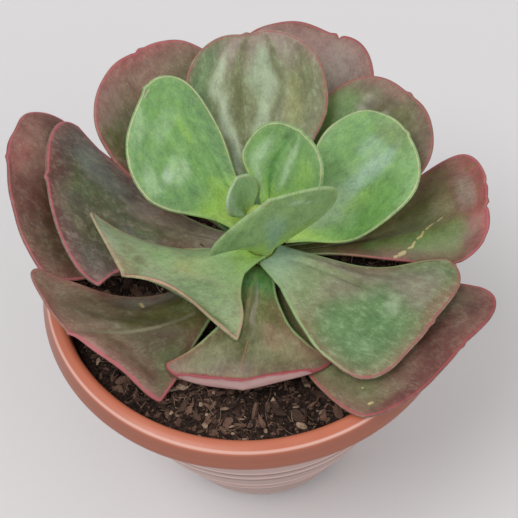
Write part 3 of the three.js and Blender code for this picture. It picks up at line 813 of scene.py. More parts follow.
def set_vectors(piece, name, values):
    attribute = piece.data.attributes.new(name, "FLOAT_VECTOR", "POINT")
    attribute.data.foreach_set("vector", np.asarray(values, np.float32).ravel())


def set_tint(piece, colours):
    attribute = piece.data.attributes.new("tint", "FLOAT_COLOR", "POINT")
    values = np.column_stack([colours, np.ones(len(colours))])
    attribute.data.foreach_set("color", values.astype(np.float32).ravel())


def shade_smooth(piece):
    piece.data.polygons.foreach_set("use_smooth", [True] * len(piece.data.polygons))


def ring_faces(count, sides):
    """Faces of a closed skin over rings of that many points, listed upwards, with a pole before the
    first ring and one after the last."""
    ring = np.arange(sides)
    following = np.roll(ring, -1)
    faces = [[0, 1 + int(b), 1 + int(a)] for a, b in zip(ring, following)]
    for i in range(count - 1):
        low = 1 + i * sides
        quads = np.stack([low + ring, low + following, low + sides + following, low + sides + ring], -1)
        faces += quads.tolist()
    last = 1 + (count - 1) * sides
    pole = last + sides
    faces += [[last + int(a), last + int(b), pole] for a, b in zip(ring, following)]
    return faces


def lathe(name, profile, sides, centre=(0, 0)):
    """A solid of revolution from [radius, height] pairs that start and end on the axis."""
    angle = np.linspace(0, 2 * math.pi, sides, endpoint=False)
    circle = np.stack([np.cos(angle), np.sin(angle), 0 * angle], -1)
    middle = np.array((*centre, 0))
    up = np.array((0, 0, 1))
    rings = [middle + radius * circle + height * up for radius, height in profile[1:-1]]
    points = np.vstack([middle + profile[0][1] * up, *rings, middle + profile[-1][1] * up])
    return make_mesh(name, points, ring_faces(len(rings), sides))


def softened(profile, radius, steps=5):
    """The profile with every corner rounded off over that distance, or over half a short side."""
    places = np.array(profile, float)
    result = [places[0]]
    for before, corner, after in zip(places[:-2], places[1:-1], places[2:]):
        near = corner + (before - corner) * min(radius / np.linalg.norm(before - corner), 0.5)
        far = corner + (after - corner) * min(radius / np.linalg.norm(after - corner), 0.5)
        for share in np.linspace(0, 1, steps + 1):
            result.append(near * (1 - share) ** 2 + corner * 2 * share * (1 - share) + far * share ** 2)
    result.append(places[-1])
    return result


def finish_piece(piece, node, material):
    piece.data.materials.clear()
    piece.data.materials.append(material)
    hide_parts(node)
    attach(piece, "root")


# Leaves

def over_blade(upper, lower, rings):
    """Rows for all the points of a blade, from those of its two skins and of its margin's rings."""
    return np.vstack([upper.reshape(-1, 3), lower.reshape(-1, 3), *rings])


def place_on_stem(leaf, points):
    """From the leaf's own frame to the plant's place in the pot."""
    turn = math.radians(leaf["bearing"])
    x = points[..., 0] * math.cos(turn) - points[..., 1] * math.sin(turn) + STEM_X
    y = points[..., 0] * math.sin(turn) + points[..., 1] * math.cos(turn) + STEM_Y
    return np.stack([x, y, points[..., 2] + leaf["height"]], -1)


def make_leaf(name):
    leaf = {**COMMON_LEAF, **LEAVES[name]}
    look = {**COMMON_LOOK, **LOOKS[name]}
    seed = int(name[-2:])
    flat = flat_blade(leaf, look, seed)
    upper, lower = blade_skins(leaf, flat, relief(flat, look, seed))
    points = over_blade(upper, lower, rim_strip(upper, lower))
    faces = blade_faces(LOW_ROWS + TIP_ROWS, COLUMNS)
    piece = make_mesh(name + "_blade", place_on_stem(leaf, points), faces)
    shade_smooth(piece)

    # How far round the rim each ring of the margin lies, from 0 at the upper skin to 1 at the lower
    rim_shares = [step / RIM_STEPS for step in range(1, RIM_STEPS)]
    tint = blade_tint(look, flat, seed)
    back = lerp(tint, look["back"], look["back_share"])
    rim_tints = [margin_loop(lerp(tint, back, smooth(0.1, 0.6, share))) for share in rim_shares]
    set_tint(piece, over_blade(tint, back, rim_tints))
    plane = np.stack([flat["x"], flat["y"], flat["edge"]], -1)
    set_vectors(piece, "plane", over_blade(plane, plane, [margin_loop(plane)] * len(rim_shares)))
    fan = np.stack([flat["s"], flat["t"], 0 * flat["s"]], -1)
    under = np.array((0, 0, 1))
    rim_fans = [margin_loop(fan) + share * under for share in rim_shares]
    set_vectors(piece, "fan", over_blade(fan, fan + under, rim_fans))
    finish_piece(piece, name, leaf_material(name + "_skin", look))


# Pot

# Sizes of the pot as in the solid model, with its drain holes and the notches of its foot
RIM_RADIUS = 100
POT_HEIGHT = 145
WALL = 2.5
POT_FLOOR = 3.5
BASE_RADIUS = 47
POT_SIDES = 240
DRAIN_HOLES = 6
DRAIN_RADIUS = 4.5
DRAIN_CIRCLE = 31
DRAIN_SIDES = 48
CUTTER_OVERLAP = 5
FOOT_NOTCHES = 4
NOTCH_SIZE = (8, 14, 4)

# How far the pot's corners are rounded: on its body, on its rim's band and inside. Edges that turn
# more than the last angle stay sharp
BODY_ROUNDING = 3
BAND_ROUNDING = 1.2
INSIDE_ROUNDING = 6
SHARP_FROM = math.radians(38)

# Profiles as (radius, height): foot, body and rim's band upwards, and the inside downwards. STEPS are
# the heights of the steps in the body
POT_FOOT = ((0, 0), (BASE_RADIUS - 1, 0), (BASE_RADIUS, 1), (BASE_RADIUS, 3), (BASE_RADIUS + 2.5, 5.5))
POT_SHOULDER = (91, 130)
POT_BODY = (
    (59.4, 33), (60.6, 34.5), (65.6, 50), (67.4, 51.5), (68, 53.5), (72.6, 69), (72.8, 70), (74, 71.5),
    (76.6, 82), (76.8, 83), (78, 84.5), (85, 108), POT_SHOULDER,
)
STEPS = (5, 33, 50, 70, 83)
CREST_HEIGHT = 143.7
POT_BAND = (
    (96, 131), (99, 132), (RIM_RADIUS, 134.5), (98.6, 139), (97, 143.6), (94.5, POT_HEIGHT - 0.4),
    (92.5, POT_HEIGHT), (90.7, POT_HEIGHT - 0.6), (90, POT_HEIGHT - 2),
)
POT_INSIDE = (
    (POT_SHOULDER[0] - WALL, POT_SHOULDER[1]), (85 - WALL, 108), (75 - WALL, 75), (64 - WALL, 45),
    (BASE_RADIUS, POT_FLOOR + 4), (BASE_RADIUS - 2, POT_FLOOR),
)


def drain_cutters():
    """Round holes through the pot's floor."""
    low, high = -CUTTER_OVERLAP, POT_FLOOR + CUTTER_OVERLAP
    profile = [(0, low), (DRAIN_RADIUS, low), (DRAIN_RADIUS, high), (0, high)]
    cutters = []
    for i in range(DRAIN_HOLES):
        angle = 2 * math.pi * i / DRAIN_HOLES
        centre = DRAIN_CIRCLE * math.cos(angle), DRAIN_CIRCLE * math.sin(angle)
        cutters.append(lathe("drain_cutter", profile, DRAIN_SIDES, centre))
    return cutters


def notch_cutters():
    """Shallow notches under the pot's foot."""
    cutters = []
    size = Matrix.Diagonal((*NOTCH_SIZE, 1))
    for i in range(FOOT_NOTCHES):
        turn = Matrix.Rotation(2 * math.pi * (i + 0.5) / FOOT_NOTCHES, 4, "Z")
        place = Matrix.Scale(MM, 4) @ turn @ Matrix.Translation((BASE_RADIUS, 0, 0)) @ size
        cutter = make_mesh("notch_cutter", [], [])
        block = bmesh.new()
        bmesh.ops.create_cube(block, size=1, matrix=place)
        block.to_mesh(cutter.data)
        block.free()
        cutters.append(cutter)
    return cutters


def cut(piece, cutters):
    """Takes the cutters out of the piece for good, and removes them."""
    for cutter in cutters:
        modifier = piece.modifiers.new("cut", "BOOLEAN")
        modifier.operation = "DIFFERENCE"
        modifier.object = cutter
    bpy.context.view_layer.update()
    whole = piece.evaluated_get(bpy.context.evaluated_depsgraph_get())
    piece.data = bpy.data.meshes.new_from_object(whole)
    piece.modifiers.clear()
    for cutter in cutters:
        bpy.data.objects.remove(cutter)


def make_pot():
    outside = softened(POT_FOOT + POT_BODY, BODY_ROUNDING)
    outside += softened((POT_SHOULDER,) + POT_BAND, BAND_ROUNDING)
    inside = softened(POT_INSIDE + ((0, POT_FLOOR),), INSIDE_ROUNDING)
    piece = lathe("pot_shell", outside + inside, POT_SIDES)
    cut(piece, drain_cutters() + notch_cutters())
    shade_smooth(piece)
    piece.data.set_sharp_from_angle(angle=SHARP_FROM)
    finish_piece(piece, "pot", pot_material())


# Soil

# The soil's level, radius, unevenness, and the division of its surface
SOIL_LEVEL = 133
SOIL_RADIUS = 88
SOIL_RELIEF = 1.6
SOIL_SIDES = 300
SOIL_RINGS = 96

# The soil's low waves, as (height as a share, turn per mm of x and of y, phase), as in the solid
# model, and the clods on them. The clods' noise has (fall of its layers' heights, ratio of their
# sizes, number of layers)
SOIL_WAVES = ((1, 0.11, 0.05, 0), (1, -0.13, 0.07, 2), (0.7, 0.09, 0.21, 4))
CLOD_SIZE = 9
CLOD_HEIGHT = 1.5
CLOD_NOISE = (0.7, 2.3, 5)

# A chip's width and thickness as shares of its length, the factors by which its points move in or
# out, how far it tips, in radians, and how high its middle lies, as a share of its thickness. Chips and
# fibres keep clear of the wall and the stem by a share of the longest
CHIP_WIDTHS = (0.3, 0.65)
CHIP_THICKNESS = (0.14, 0.32)
CHIP_LUMPS = (0.7, 1.25)
CHIP_PITCH = 0.42
CHIP_ROLL = 0.65
CHIP_LIFT = (0.1, 0.9)
CLEARANCE = 0.55

# Bark on the soil, as (name, count, shortest and longest in mm, divisions of the form, share of pale
# ones, number of the random draw)
CHIPS = (
    ("soil_chips", 4800, 1.5, 4.5, 1, 0.1, 1),
    ("soil_bark", 1100, 3.5, 8, 2, 0.08, 2),
    ("soil_pieces", 60, 7, 12, 2, 0.1, 3),
)
FIBRES = dict(count=420, shortest=4, longest=13, thickness=0.16, steps=6, sides=3, draw=5)

# How much a fibre turns at each step, in radians, how high above the soil it starts, how much that
# changes at each step, and how low it may come, in mm
FIBRE_TURN = 0.25
FIBRE_LIFT = (0.3, 1.4)
FIBRE_WAVER = 0.25
FIBRE_LOWEST = 0.1


def soil_height(x, y):
    """The soil's surface: the solid model's low waves with clods and crumbs on them."""
    heave = 0
    for share, per_x, per_y, phase in SOIL_WAVES:
        heave += share * math.sin(per_x * x + per_y * y + phase)
    edge = 1 - (math.hypot(x, y) / RIM_RADIUS) ** 8
    clods = noise.fractal(Vector((x / CLOD_SIZE, y / CLOD_SIZE, 3)), *CLOD_NOISE)
    return SOIL_LEVEL + SOIL_RELIEF * 0.5 * heave * edge + CLOD_HEIGHT * clods


def reach_from_stem(angle, radius):
    """How far it is from the stem's axis, at that angle, to a circle about the pot's axis."""
    along = STEM_X * math.cos(angle) + STEM_Y * math.sin(angle)
    return -along + math.sqrt(along ** 2 + radius ** 2 - STEM_X ** 2 - STEM_Y ** 2)


def from_stem(angle, reach):
    """The place at that angle and distance from the stem's axis."""
    return STEM_X + reach * math.cos(angle), STEM_Y + reach * math.sin(angle)


def make_soil_bed():
    """The soil down to the pot's floor, with a socket in which the stem stands."""
    angles = np.linspace(0, 2 * math.pi, SOIL_SIDES, endpoint=False)
    hole = STEM_THICK + GAP
    rings = [[(hole, STEM_FOOT) for _ in angles]]
    for share in np.linspace(0, 1, SOIL_RINGS + 1):
        reaches = [lerp(hole, reach_from_stem(angle, SOIL_RADIUS), share) for angle in angles]
        heights = [soil_height(*from_stem(angle, reach)) for angle, reach in zip(angles, reaches)]
        rings.append(list(zip(reaches, heights)))
    walls = [(radius - 2 * GAP, z) for radius, z in POT_INSIDE[:-1]]
    for radius, z in walls + [(BASE_RADIUS - 2 - GAP, POT_FLOOR + GAP)]:
        rings.append([(reach_from_stem(angle, radius), z) for angle in angles])
    points = [(STEM_X, STEM_Y, STEM_FOOT)]
    for ring in rings:
        points += [(*from_stem(angle, reach), z) for angle, (reach, z) in zip(angles, ring)]
    points.append((STEM_X, STEM_Y, POT_FLOOR + GAP))
    faces = [face[::-1] for face in ring_faces(len(rings), SOIL_SIDES)]
    piece = make_mesh("soil_bed", points, faces)
    shade_smooth(piece)
    finish_piece(piece, "soil", soil_material("soil_crumbs", False))


def scattered(rng, count, margin):
    """Places on the soil, clear of the stem and of the pot's wall by that margin in mm."""
    places = []
    while len(places) < count:
        x, y = rng.uniform(-SOIL_RADIUS, SOIL_RADIUS, 2)
        far_in = math.hypot(x, y) < SOIL_RADIUS - margin
        off_stem = math.hypot(x - STEM_X, y - STEM_Y) > STEM_THICK + margin
        if far_in and off_stem:
            places.append((x, y, soil_height(x, y)))
    return np.array(places)


def chip_shades(rng, count, light_share):
    """A colour for each chip: mostly dark brown, with some pale ones."""
    share = rng.beta(1.4, 1.5, count)[:, None]
    tint = lerp(SOIL_BLACK, BARK, share)
    light = (rng.uniform(size=count) < light_share)[:, None]
    return np.where(light, lerp(BARK, BARK_TAN, rng.uniform(size=(count, 1))), tint)


def turned(a, b, angles):
    """Two coordinates of each chip's points after a turn through the chip's own angle."""
    cos, sin = np.cos(angles)[:, None], np.sin(angles)[:, None]
    return a * cos - b * sin, a * sin + b * cos


def small_ball(subdivisions):
    """The points and triangles of a ball of diameter 1."""
    ball = bmesh.new()
    bmesh.ops.create_icosphere(ball, subdivisions=subdivisions, radius=0.5)
    form = np.array([tuple(vertex.co) for vertex in ball.verts])
    sides = np.array([[vertex.index for vertex in face.verts] for face in ball.faces])
    ball.free()
    return form, sides


def make_chips(name, count, shortest, longest, subdivisions, light_share, draw):
    """Flakes of bark that lie at all angles on the soil."""
    rng = np.random.default_rng(SEED + draw)
    form, sides = small_ball(subdivisions)
    length = shortest * (longest / shortest) ** rng.beta(1.2, 2, count)
    wide = length * rng.uniform(*CHIP_WIDTHS, count)
    thick = length * rng.uniform(*CHIP_THICKNESS, count)
    size = np.stack([length, wide, thick], -1)[:, None, :]
    lumps = form[None] * rng.uniform(*CHIP_LUMPS, (count, len(form), 1)) * size
    yaw = rng.uniform(0, 2 * math.pi, count)
    pitch = rng.normal(0, CHIP_PITCH, count)
    roll = rng.normal(0, CHIP_ROLL, count)
    x, y, z = lumps[..., 0], lumps[..., 1], lumps[..., 2]
    y, z = turned(y, z, roll)
    x, z = turned(x, z, pitch)
    x, y = turned(x, y, yaw)
    places = scattered(rng, count, longest * CLEARANCE)
    places[:, 2] += thick * rng.uniform(*CHIP_LIFT, count)
    points = np.stack([x, y, z], -1) + places[:, None, :]
    faces = (sides[None] + (np.arange(count) * len(form))[:, None, None]).reshape(-1, 3)
    piece = make_mesh(name, points.reshape(-1, 3), faces.tolist())
    set_tint(piece, np.repeat(chip_shades(rng, count, light_share), len(form), axis=0))
    finish_piece(piece, "soil", soil_material(name + "_bark", True))


def fibre_path(rng, place, shortest, longest, steps):
    """Places along one fibre, which bends as it follows the soil, and its heading at the end."""
    x, y, z = place
    heading = rng.uniform(0, 2 * math.pi)
    turn = rng.normal(0, FIBRE_TURN)
    length = rng.uniform(shortest, longest)
    lift = rng.uniform(*FIBRE_LIFT)
    path = []
    for _ in range(steps + 1):
        path.append((x, y, z + lift))
        x += length / steps * math.cos(heading)
        y += length / steps * math.sin(heading)
        heading += turn
        lift = max(FIBRE_LOWEST, lift + rng.normal(0, FIBRE_WAVER))
        z = soil_height(x, y)
    return path, heading


def tube_points(path, heading, thickness, sides):
    """Points of a thin tube: the path's start, a ring round each place between, and its end."""
    points = [path[0]]
    for x, y, z in path[1:-1]:
        for corner in range(sides):
            angle = heading + 2 * math.pi * corner / sides
            points.append((x - thickness * math.sin(heading) * math.cos(angle),
                           y + thickness * math.cos(heading) * math.cos(angle),
                           z + thickness * math.sin(angle)))
    return points + [path[-1]]


def make_fibres(count, shortest, longest, thickness, steps, sides, draw):
    """Thin strands of coir that lie across the soil."""
    rng = np.random.default_rng(SEED + draw)
    points, faces, tints = [], [], []
    for place in scattered(rng, count, longest * CLEARANCE):
        path, heading = fibre_path(rng, place, shortest, longest, steps)
        tube = tube_points(path, heading, thickness, sides)
        faces += [[corner + len(points) for corner in face] for face in ring_faces(steps - 1, sides)]
        points += tube
        tints += [lerp(BARK, BARK_TAN, rng.uniform())] * len(tube)
    piece = make_mesh("soil_fibres", points, faces)
    set_tint(piece, tints)
    finish_piece(piece, "soil", soil_material("soil_fibres_coir", True))


# Stem

# The stem's division, and the height from which it has its full thickness
STEM_SIDES = 72
STEM_FULL_FROM = 112

# The rings: their distance and depth in mm, how narrow and how wavy they are, the bark's roughness as
# (share of the depth, lumps per mm), and the radius of the stem's core, which has no rings
SCAR_PITCH = 4.5
SCAR_DEPTH = 0.45
SCAR_NARROWNESS = 6
SCAR_WANDER = 1.5
BARK_ROUGHNESS = (0.5, 0.3)
STEM_CORE = 4


def stem_profile():
    """The stem from its foot in the soil to its tip."""
    profile = [(0, STEM_FOOT), (3, STEM_FOOT), (6, STEM_FOOT + 6)]
    profile += [(float(stem_radius(z)), z) for z in range(STEM_FULL_FROM, STEM_TOP - 2, 2)]
    return profile + [(3, STEM_TOP), (0, STEM_TOP + 0.5)]


def make_stem():
    """The stem with the low rings that fallen leaves have left on it."""
    piece = lathe("stem_stalk", softened(stem_profile(), 1, 3), STEM_SIDES, (STEM_X, STEM_Y))
    roughness, lumps = BARK_ROUGHNESS
    for vertex in piece.data.vertices:
        x, y, z = vertex.co / MM
        wander = SCAR_WANDER * math.sin(3 * math.atan2(y - STEM_Y, x - STEM_X))
        ring = math.cos(2 * math.pi * z / SCAR_PITCH + wander) ** SCAR_NARROWNESS
        pull = SCAR_DEPTH * (ring + roughness * abs(noise.noise(Vector((x, y, z)) * lumps)))
        radius = math.hypot(x - STEM_X, y - STEM_Y)
        if radius > STEM_CORE:
            share = 1 - pull / radius
            vertex.co.x = (STEM_X + (x - STEM_X) * share) * MM
            vertex.co.y = (STEM_Y + (y - STEM_Y) * share) * MM
    shade_smooth(piece)
    finish_piece(piece, "stem", stem_material())


# Materials

class Nodes:
    """A short way to build a material's node tree."""

    def __init__(self, name):
        self.material = bpy.data.materials.new(name)
        self.material.use_nodes = True
        self.tree = self.material.node_tree
        self.shader = self.tree.nodes["Principled BSDF"]

    def set(self, socket, value):
        if isinstance(value, bpy.types.NodeSocket):
            self.tree.links.new(value, socket)
        elif socket.type == "RGBA" and len(value) == 3:
            socket.default_value = (*value, 1)
        else:
            socket.default_value = value

    def node(self, kind, inputs=(), **settings):
        """The outputs of a new node with these settings, and with inputs as {place or name: value}."""
        node = self.tree.nodes.new("ShaderNode" + kind)
        for name, value in settings.items():
            setattr(node, name, value)
        for key, value in dict(inputs).items():
            self.set(node.inputs[key], value)
        return node.outputs

    def attribute(self, name, output="Vector"):
        return self.node("Attribute", attribute_name=name)[output]

    def place(self):
        """The point being shaded, in mm."""
        return self.vector("MULTIPLY", self.node("TexCoord")["Object"], (1 / MM,) * 3)

    def math(self, operation, *values):
        return self.node("Math", enumerate(values), operation=operation)[0]

    def times(self, a, b):
        return self.math("MULTIPLY", a, b)

    def gap(self, a, b):
        """How far two values are apart."""
        return self.math("ABSOLUTE", self.math("SUBTRACT", a, b))

    def vector(self, operation, *values, output="Vector"):
        return self.node("VectorMath", enumerate(values), operation=operation)[output]

    def split(self, vector):
        return self.node("SeparateXYZ", {0: vector})

    def join(self, *values):
        return self.node("CombineXYZ", enumerate(values))[0]

    def noise(self, vector, scale, detail=2.0, roughness=0.5):
        inputs = {"Vector": vector, "Scale": scale, "Detail": detail, "Roughness": roughness}
        return self.node("TexNoise", inputs)["Fac"]

    def span(self, value, low, high, to_low=0.0, to_high=1.0, kind="SMOOTHSTEP"):
        """value from low to high mapped to to_low up to to_high, and clamped."""
        inputs = {"Value": value, "From Min": low, "From Max": high, "To Min": to_low, "To Max": to_high}
        return self.node("MapRange", inputs, interpolation_type=kind)["Result"]

    def slope(self, *values):
        """The same as span, but even from end to end."""
        return self.span(*values, kind="LINEAR")

    def mix(self, share, a, b, blend="MIX"):
        """a and b in shares, on the sockets that the Mix node has for colours."""
        return self.node("Mix", {0: share, 6: a, 7: b}, data_type="RGBA", blend_type=blend)[2]

    def brighten(self, colour, factor):
        return self.mix(1.0, colour, self.join(factor, factor, factor), "MULTIPLY")

    def stretch(self, place, start, end):
        """Distance in the blade's plane from the stretch between two places on it."""
        run = Vector((*end, 0)) - Vector((*start, 0))
        off = self.vector("SUBTRACT", place, (*start, 0))
        share = self.math("DIVIDE", self.vector("DOT_PRODUCT", off, run, output="Value"), run.length_squared)
        along = {0: run, "Scale": self.slope(share, 0, 1, 0, 1)}
        along = self.node("VectorMath", along, operation="SCALE")["Vector"]
        return self.vector("LENGTH", self.vector("SUBTRACT", off, along), output="Value")

    def bump(self, height, strength, distance):
        inputs = {"Strength": strength, "Distance": distance, "Height": height}
        self.set(self.shader.inputs["Normal"], self.node("Bump", inputs)["Normal"])

    def plain(self, **values):
        """Sets the shader's own sockets, such as Roughness, with _ for a space."""
        for name, value in values.items():
            self.set(self.shader.inputs[name.replace("_", " ")], value)


# Patterns of noise on a blade, each with the (scale, detail, roughness) of its noise and with
# (low, high, darkest, lightest): noise from low to high takes the brightness from darkest to lightest
BLADE_PATTERNS = dict(
    streaks=((1.0, 3, 0.6), (0.3, 0.75, 0.96, 1.05)),
    speckles=((1.3, 4, 0.75), (0.3, 0.7, 0.8, 1.2)),
    grain=((1.0, 4, 0.65), (0.3, 0.72, 0.91, 1.09)),
    cloud=((0.14, 5, 0.65), (0.3, 0.7, 0.84, 1.16)),
)
BLOTCHES = (0.3, 6, 0.72)

# The pot's patterns, as (scale, detail, roughness): clouds, grain and the fine turning marks
POT_CLOUD = (0.03, 3, 0.6)
POT_GRAIN = (0.9, 3, 0.6)
TURNING = (0.25, 3, 0.6)

# Where a step's pale painted highlight lies, in mm above its foot
STEP_RISE = 5


def add_scars(nodes, colour, place, wander, scars):
    """Dry lines and spots on a blade, with ragged borders."""
    for places, width, scar_colour in scars:
        for start, end in zip(places[:-1], places[1:]):
            away = nodes.times(nodes.stretch(place, start, end), wander)
            shown = nodes.span(away, width * 0.5, width * 1.3, 0.85, 0.0)
            colour = nodes.mix(shown, colour, scar_colour)
    return colour


def add_mottle(nodes, colour, place, mottle):
    """Irregular blotches, paler or fresher than the blade."""
    mottle_colour, strength = mottle
    blotches = nodes.noise(place, *BLOTCHES)
    colour = nodes.mix(nodes.span(blotches, 0.52, 0.62, 0.0, strength), colour, mottle_colour)
    return nodes.brighten(colour, nodes.span(blotches, 0.38, 0.5, 0.84, 1.0))


def margin_line(nodes, look, edge, under, t, wander):
    """How much the margin's thin line shows, which wanders in width."""
    width = look["line"][1]
    round_rim = nodes.math("MULTIPLY_ADD", under, RIM_FADE, nodes.math("ABSOLUTE", edge))
    near = nodes.math("DIVIDE", round_rim, wander)
    line = nodes.span(near, width * 0.5, width * 1.8, 0.85, 0.0)
    return nodes.times(line, nodes.span(t, -0.6, 0.2, look["line_right"], 1.0))


def leaf_material(name, look):
    nodes = Nodes(name)
    plane = nodes.attribute("plane")
    x, y, edge = nodes.split(plane)
    s, t, under = nodes.split(nodes.attribute("fan"))
    flat = nodes.join(x, y)

    # Fine streaks that fan out from the neck, mottles and clouds
    colour = nodes.attribute("tint", "Color")
    places = dict.fromkeys(BLADE_PATTERNS, plane)
    places["streaks"] = nodes.join(nodes.times(t, 30), nodes.times(x, 0.1), under)
    places["grain"] = nodes.join(nodes.times(x, 0.5), y, under)
    pattern = {}
    for kind, (noise, shading) in BLADE_PATTERNS.items():
        pattern[kind] = nodes.noise(places[kind], *noise)
        colour = nodes.brighten(colour, nodes.slope(pattern[kind], *shading))
    grain = pattern["grain"]
    colour = add_mottle(nodes, colour, nodes.join(nodes.times(x, 0.6), y, under), look["mottle"])

    # Powdery bloom in cloudy patches
    powder = nodes.times(nodes.span(pattern["cloud"], 0.42, 0.7), nodes.span(grain, 0.35, 0.7))
    powder = nodes.times(powder, look["bloom"])
    colour = nodes.mix(powder, colour, SAGE)

    # The upturned lip, and the margin's line, which pales towards the stem
    if look["lip"][0]:
        colour = nodes.mix(nodes.span(edge, -0.6, 0.0, 1.0, 0.0), colour, look["back"])
    line_tint = nodes.mix(nodes.span(s, *look["line_from"]), PALE_GREEN, look["line"][0])
    wander = nodes.slope(nodes.noise(flat, 0.25, 3), 0.3, 0.7, 0.55, 1.5)
    colour = nodes.mix(margin_line(nodes, look, edge, under, t, wander), colour, line_tint)
    colour = add_scars(nodes, colour, flat, nodes.slope(grain, 0.3, 0.7, 0.6, 1.6), look["scars"])

    nodes.plain(Base_Color=colour, Subsurface_Weight=0.05, Subsurface_Scale=0.002)
    nodes.plain(Roughness=nodes.slope(powder, 0.0, 0.3, 0.4, 0.6), Specular_IOR_Level=0.4)
    height = nodes.math("MULTIPLY_ADD", grain, 0.6, nodes.times(pattern["speckles"], 0.5))
    nodes.bump(height, 0.35, 0.0004)
    return nodes.material


def add_pot_wear(nodes, colour, radius, z):
    """Painted shade and highlight on the pot's rim, and at its steps brown painted shade, a pale painted
    highlight above.
    """
    # Painted shade on the rim's outer face below the crest
    below_crest = nodes.times(nodes.span(z, 141.5, 143.5, 0.75, 0.0), nodes.span(radius, 96, 97.5))
    colour = nodes.mix(below_crest, colour, SHADED_TERRACOTTA)
    # A painted highlight along the rim's crest
    crest = nodes.span(nodes.gap(z, CREST_HEIGHT), 0.2, 0.9, 0.65, 0.0)
    colour = nodes.mix(nodes.times(crest, nodes.span(radius, 95.6, 96.4)), colour, HIGHLIGHT_TERRACOTTA)
    colour = nodes.mix(nodes.span(z, 130, 132, 0.85, 0.0), colour, DUSTY_TERRACOTTA)
    # At each step, painted shade in brown, and a pale painted highlight above it
    for step_height in STEPS:
        groove = nodes.span(nodes.gap(z, step_height), 1.5, 5, 0.75, 0.0)
        colour = nodes.mix(groove, colour, STEP_SHADE_BROWN)
        edge = nodes.span(nodes.gap(z, step_height + STEP_RISE), 0.6, 2.6, 0.6, 0.0)
        colour = nodes.mix(edge, colour, HIGHLIGHT_TERRACOTTA)
    return colour


def pot_material():
    nodes = Nodes("pot_plastic")
    place = nodes.place()
    x, y, z = nodes.split(place)
    grain = nodes.noise(place, *POT_GRAIN)
    turning = nodes.noise(nodes.join(0.0, 0.0, z), *TURNING)
    cloud = nodes.span(nodes.noise(place, *POT_CLOUD), 0.35, 0.65, 0.0, 0.25)
    colour = nodes.mix(cloud, TERRACOTTA, PALE_TERRACOTTA)
    radius = nodes.vector("LENGTH", nodes.join(x, y), output="Value")
    colour = add_pot_wear(nodes, colour, radius, z)
    colour = nodes.brighten(colour, nodes.slope(turning, 0.3, 0.7, 0.92, 1.06))

    # Darker, soil-brown speckles on the inside of the wall, just above the soil
    near_soil = nodes.times(nodes.span(z, 129, 131), nodes.span(z, 132, 141, 1.0, 0.0))
    inner = nodes.times(nodes.span(radius, 88.5, 90.5, 1.0, 0.0), near_soil)
    brown_speckles = nodes.times(inner, nodes.span(grain, 0.35, 0.65))
    colour = nodes.mix(nodes.times(brown_speckles, 0.7), colour, SOIL_BROWN)
    nodes.plain(Base_Color=colour, Roughness=nodes.slope(grain, 0.3, 0.7, 0.3, 0.38))
    nodes.bump(nodes.math("MULTIPLY_ADD", grain, 0.04, turning), 0.3, 0.0006)
    return nodes.material


def soil_material(name, has_tint):
    nodes = Nodes(name)
    place = nodes.place()
    crumbs = nodes.noise(place, 0.7, 5, 0.7)
    fine = nodes.noise(place, 2.5, 3, 0.6)
    if has_tint:
        base = nodes.brighten(nodes.attribute("tint", "Color"), nodes.slope(fine, 0.3, 0.7, 0.45, 1.6))
    else:
        # The bed shows in the gaps between the chips: dark soil, made near-black as painted shade in those
        # gaps
        base = nodes.mix(nodes.span(crumbs, 0.35, 0.7), SOIL_BLACK, SOIL_BROWN)
        base = nodes.brighten(base, nodes.slope(fine, 0.3, 0.7, 0.5, 1.3))
    nodes.plain(Base_Color=base, Roughness=0.9, Specular_IOR_Level=0.3)
    nodes.bump(nodes.math("ADD", crumbs, nodes.times(fine, 0.5)), 0.8, 0.0012)
    return nodes.material


def stem_material():
    nodes = Nodes("stem_bark")
    x, y, z = nodes.split(nodes.place())
    grain = nodes.noise(nodes.join(x, y, nodes.times(z, 0.3)), 0.9, 4, 0.6)
    height = nodes.math("MULTIPLY_ADD", grain, 14, z)
    colour = nodes.mix(nodes.span(height, 150, 166), STEM_BROWN, STEM_GREEN)
    colour = nodes.brighten(colour, nodes.slope(grain, 0.3, 0.7, 0.75, 1.2))
    nodes.plain(Base_Color=colour, Roughness=0.6)
    nodes.bump(grain, 0.5, 0.0008)
    return nodes.material


def floor_material():
    nodes = Nodes("floor_paint")
    grain = nodes.noise(nodes.place(), 0.4, 2)
    nodes.plain(Base_Color=FLOOR_GREY, Roughness=nodes.slope(grain, 0.3, 0.7, 0.85, 0.95))
    return nodes.material


# The view: the camera stands where the photograph's perspective puts it

IMAGE_SIDE = 518
FOCUS_PIXELS = 1382
SENSOR = 36
CAMERA_TARGET = Vector((5, 0, 153.1)) * MM
CAMERA_DISTANCE = 650 * MM
CAMERA_ELEVATION = math.radians(54.5)
CAMERA_ROLL = math.radians(-4)

FLOOR_GREY = shade(222, 220, 221)
FLOOR_SIDE = 4000
LIGHT_TARGET = Vector((0, 0, 130)) * MM
SKY_STRENGTH = 0.64

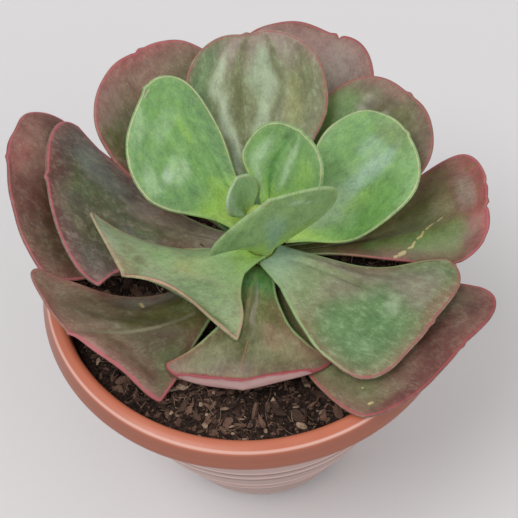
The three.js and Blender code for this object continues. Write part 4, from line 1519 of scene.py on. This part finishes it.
# Lamps as (name, place and size in metres, power in watts)
LAMPS = (
    ("key", (-1.6, -1.0, 3.8), 2.2, 62),
    ("fill", (2.0, -2.0, 2.6), 2.4, 18),
)


def make_camera():
    data = bpy.data.cameras.new("camera")
    data.sensor_width = SENSOR
    data.lens = FOCUS_PIXELS / IMAGE_SIDE * SENSOR
    data.clip_start = 0.01
    data.clip_end = 20
    camera = bpy.data.objects.new("camera", data)
    bpy.context.scene.collection.objects.link(camera)
    back = Vector((0, -math.cos(CAMERA_ELEVATION), math.sin(CAMERA_ELEVATION)))
    right = Vector((1, 0, 0))
    up = back.cross(right)
    turned_right = right * math.cos(CAMERA_ROLL) + up * math.sin(CAMERA_ROLL)
    turned_up = up * math.cos(CAMERA_ROLL) - right * math.sin(CAMERA_ROLL)
    axes = Matrix((turned_right, turned_up, back)).transposed()
    place = CAMERA_TARGET + back * CAMERA_DISTANCE
    camera.matrix_world = Matrix.Translation(place) @ axes.to_4x4()
    bpy.context.scene.camera = camera


def make_floor():
    corners = np.array([(-1, -1, 0), (1, -1, 0), (1, 1, 0), (-1, 1, 0)]) * FLOOR_SIDE / 2
    floor = make_mesh("floor", corners, [(0, 1, 2, 3)])
    floor.data.materials.append(floor_material())


def make_light(name, place, size, power):
    data = bpy.data.lights.new(name, "AREA")
    data.shape = "DISK"
    data.size = size
    data.energy = power
    light = bpy.data.objects.new(name, data)
    bpy.context.scene.collection.objects.link(light)
    light.location = place
    light.rotation_mode = "QUATERNION"
    light.rotation_quaternion = (LIGHT_TARGET - light.location).to_track_quat("-Z", "Y")


def make_lights():
    world = bpy.data.worlds.new("studio")
    world.use_nodes = True
    sky = world.node_tree.nodes["Background"]
    sky.inputs["Color"].default_value = (1, 1, 1, 1)
    sky.inputs["Strength"].default_value = SKY_STRENGTH
    bpy.context.scene.world = world
    for lamp in LAMPS:
        make_light(*lamp)


for leaf_name in LEAVES:
    make_leaf(leaf_name)
make_pot()
make_soil_bed()
for chips in CHIPS:
    make_chips(*chips)
make_fibres(**FIBRES)
make_stem()
make_camera()
make_floor()
make_lights()
bpy.context.scene.view_settings.view_transform = "Standard"
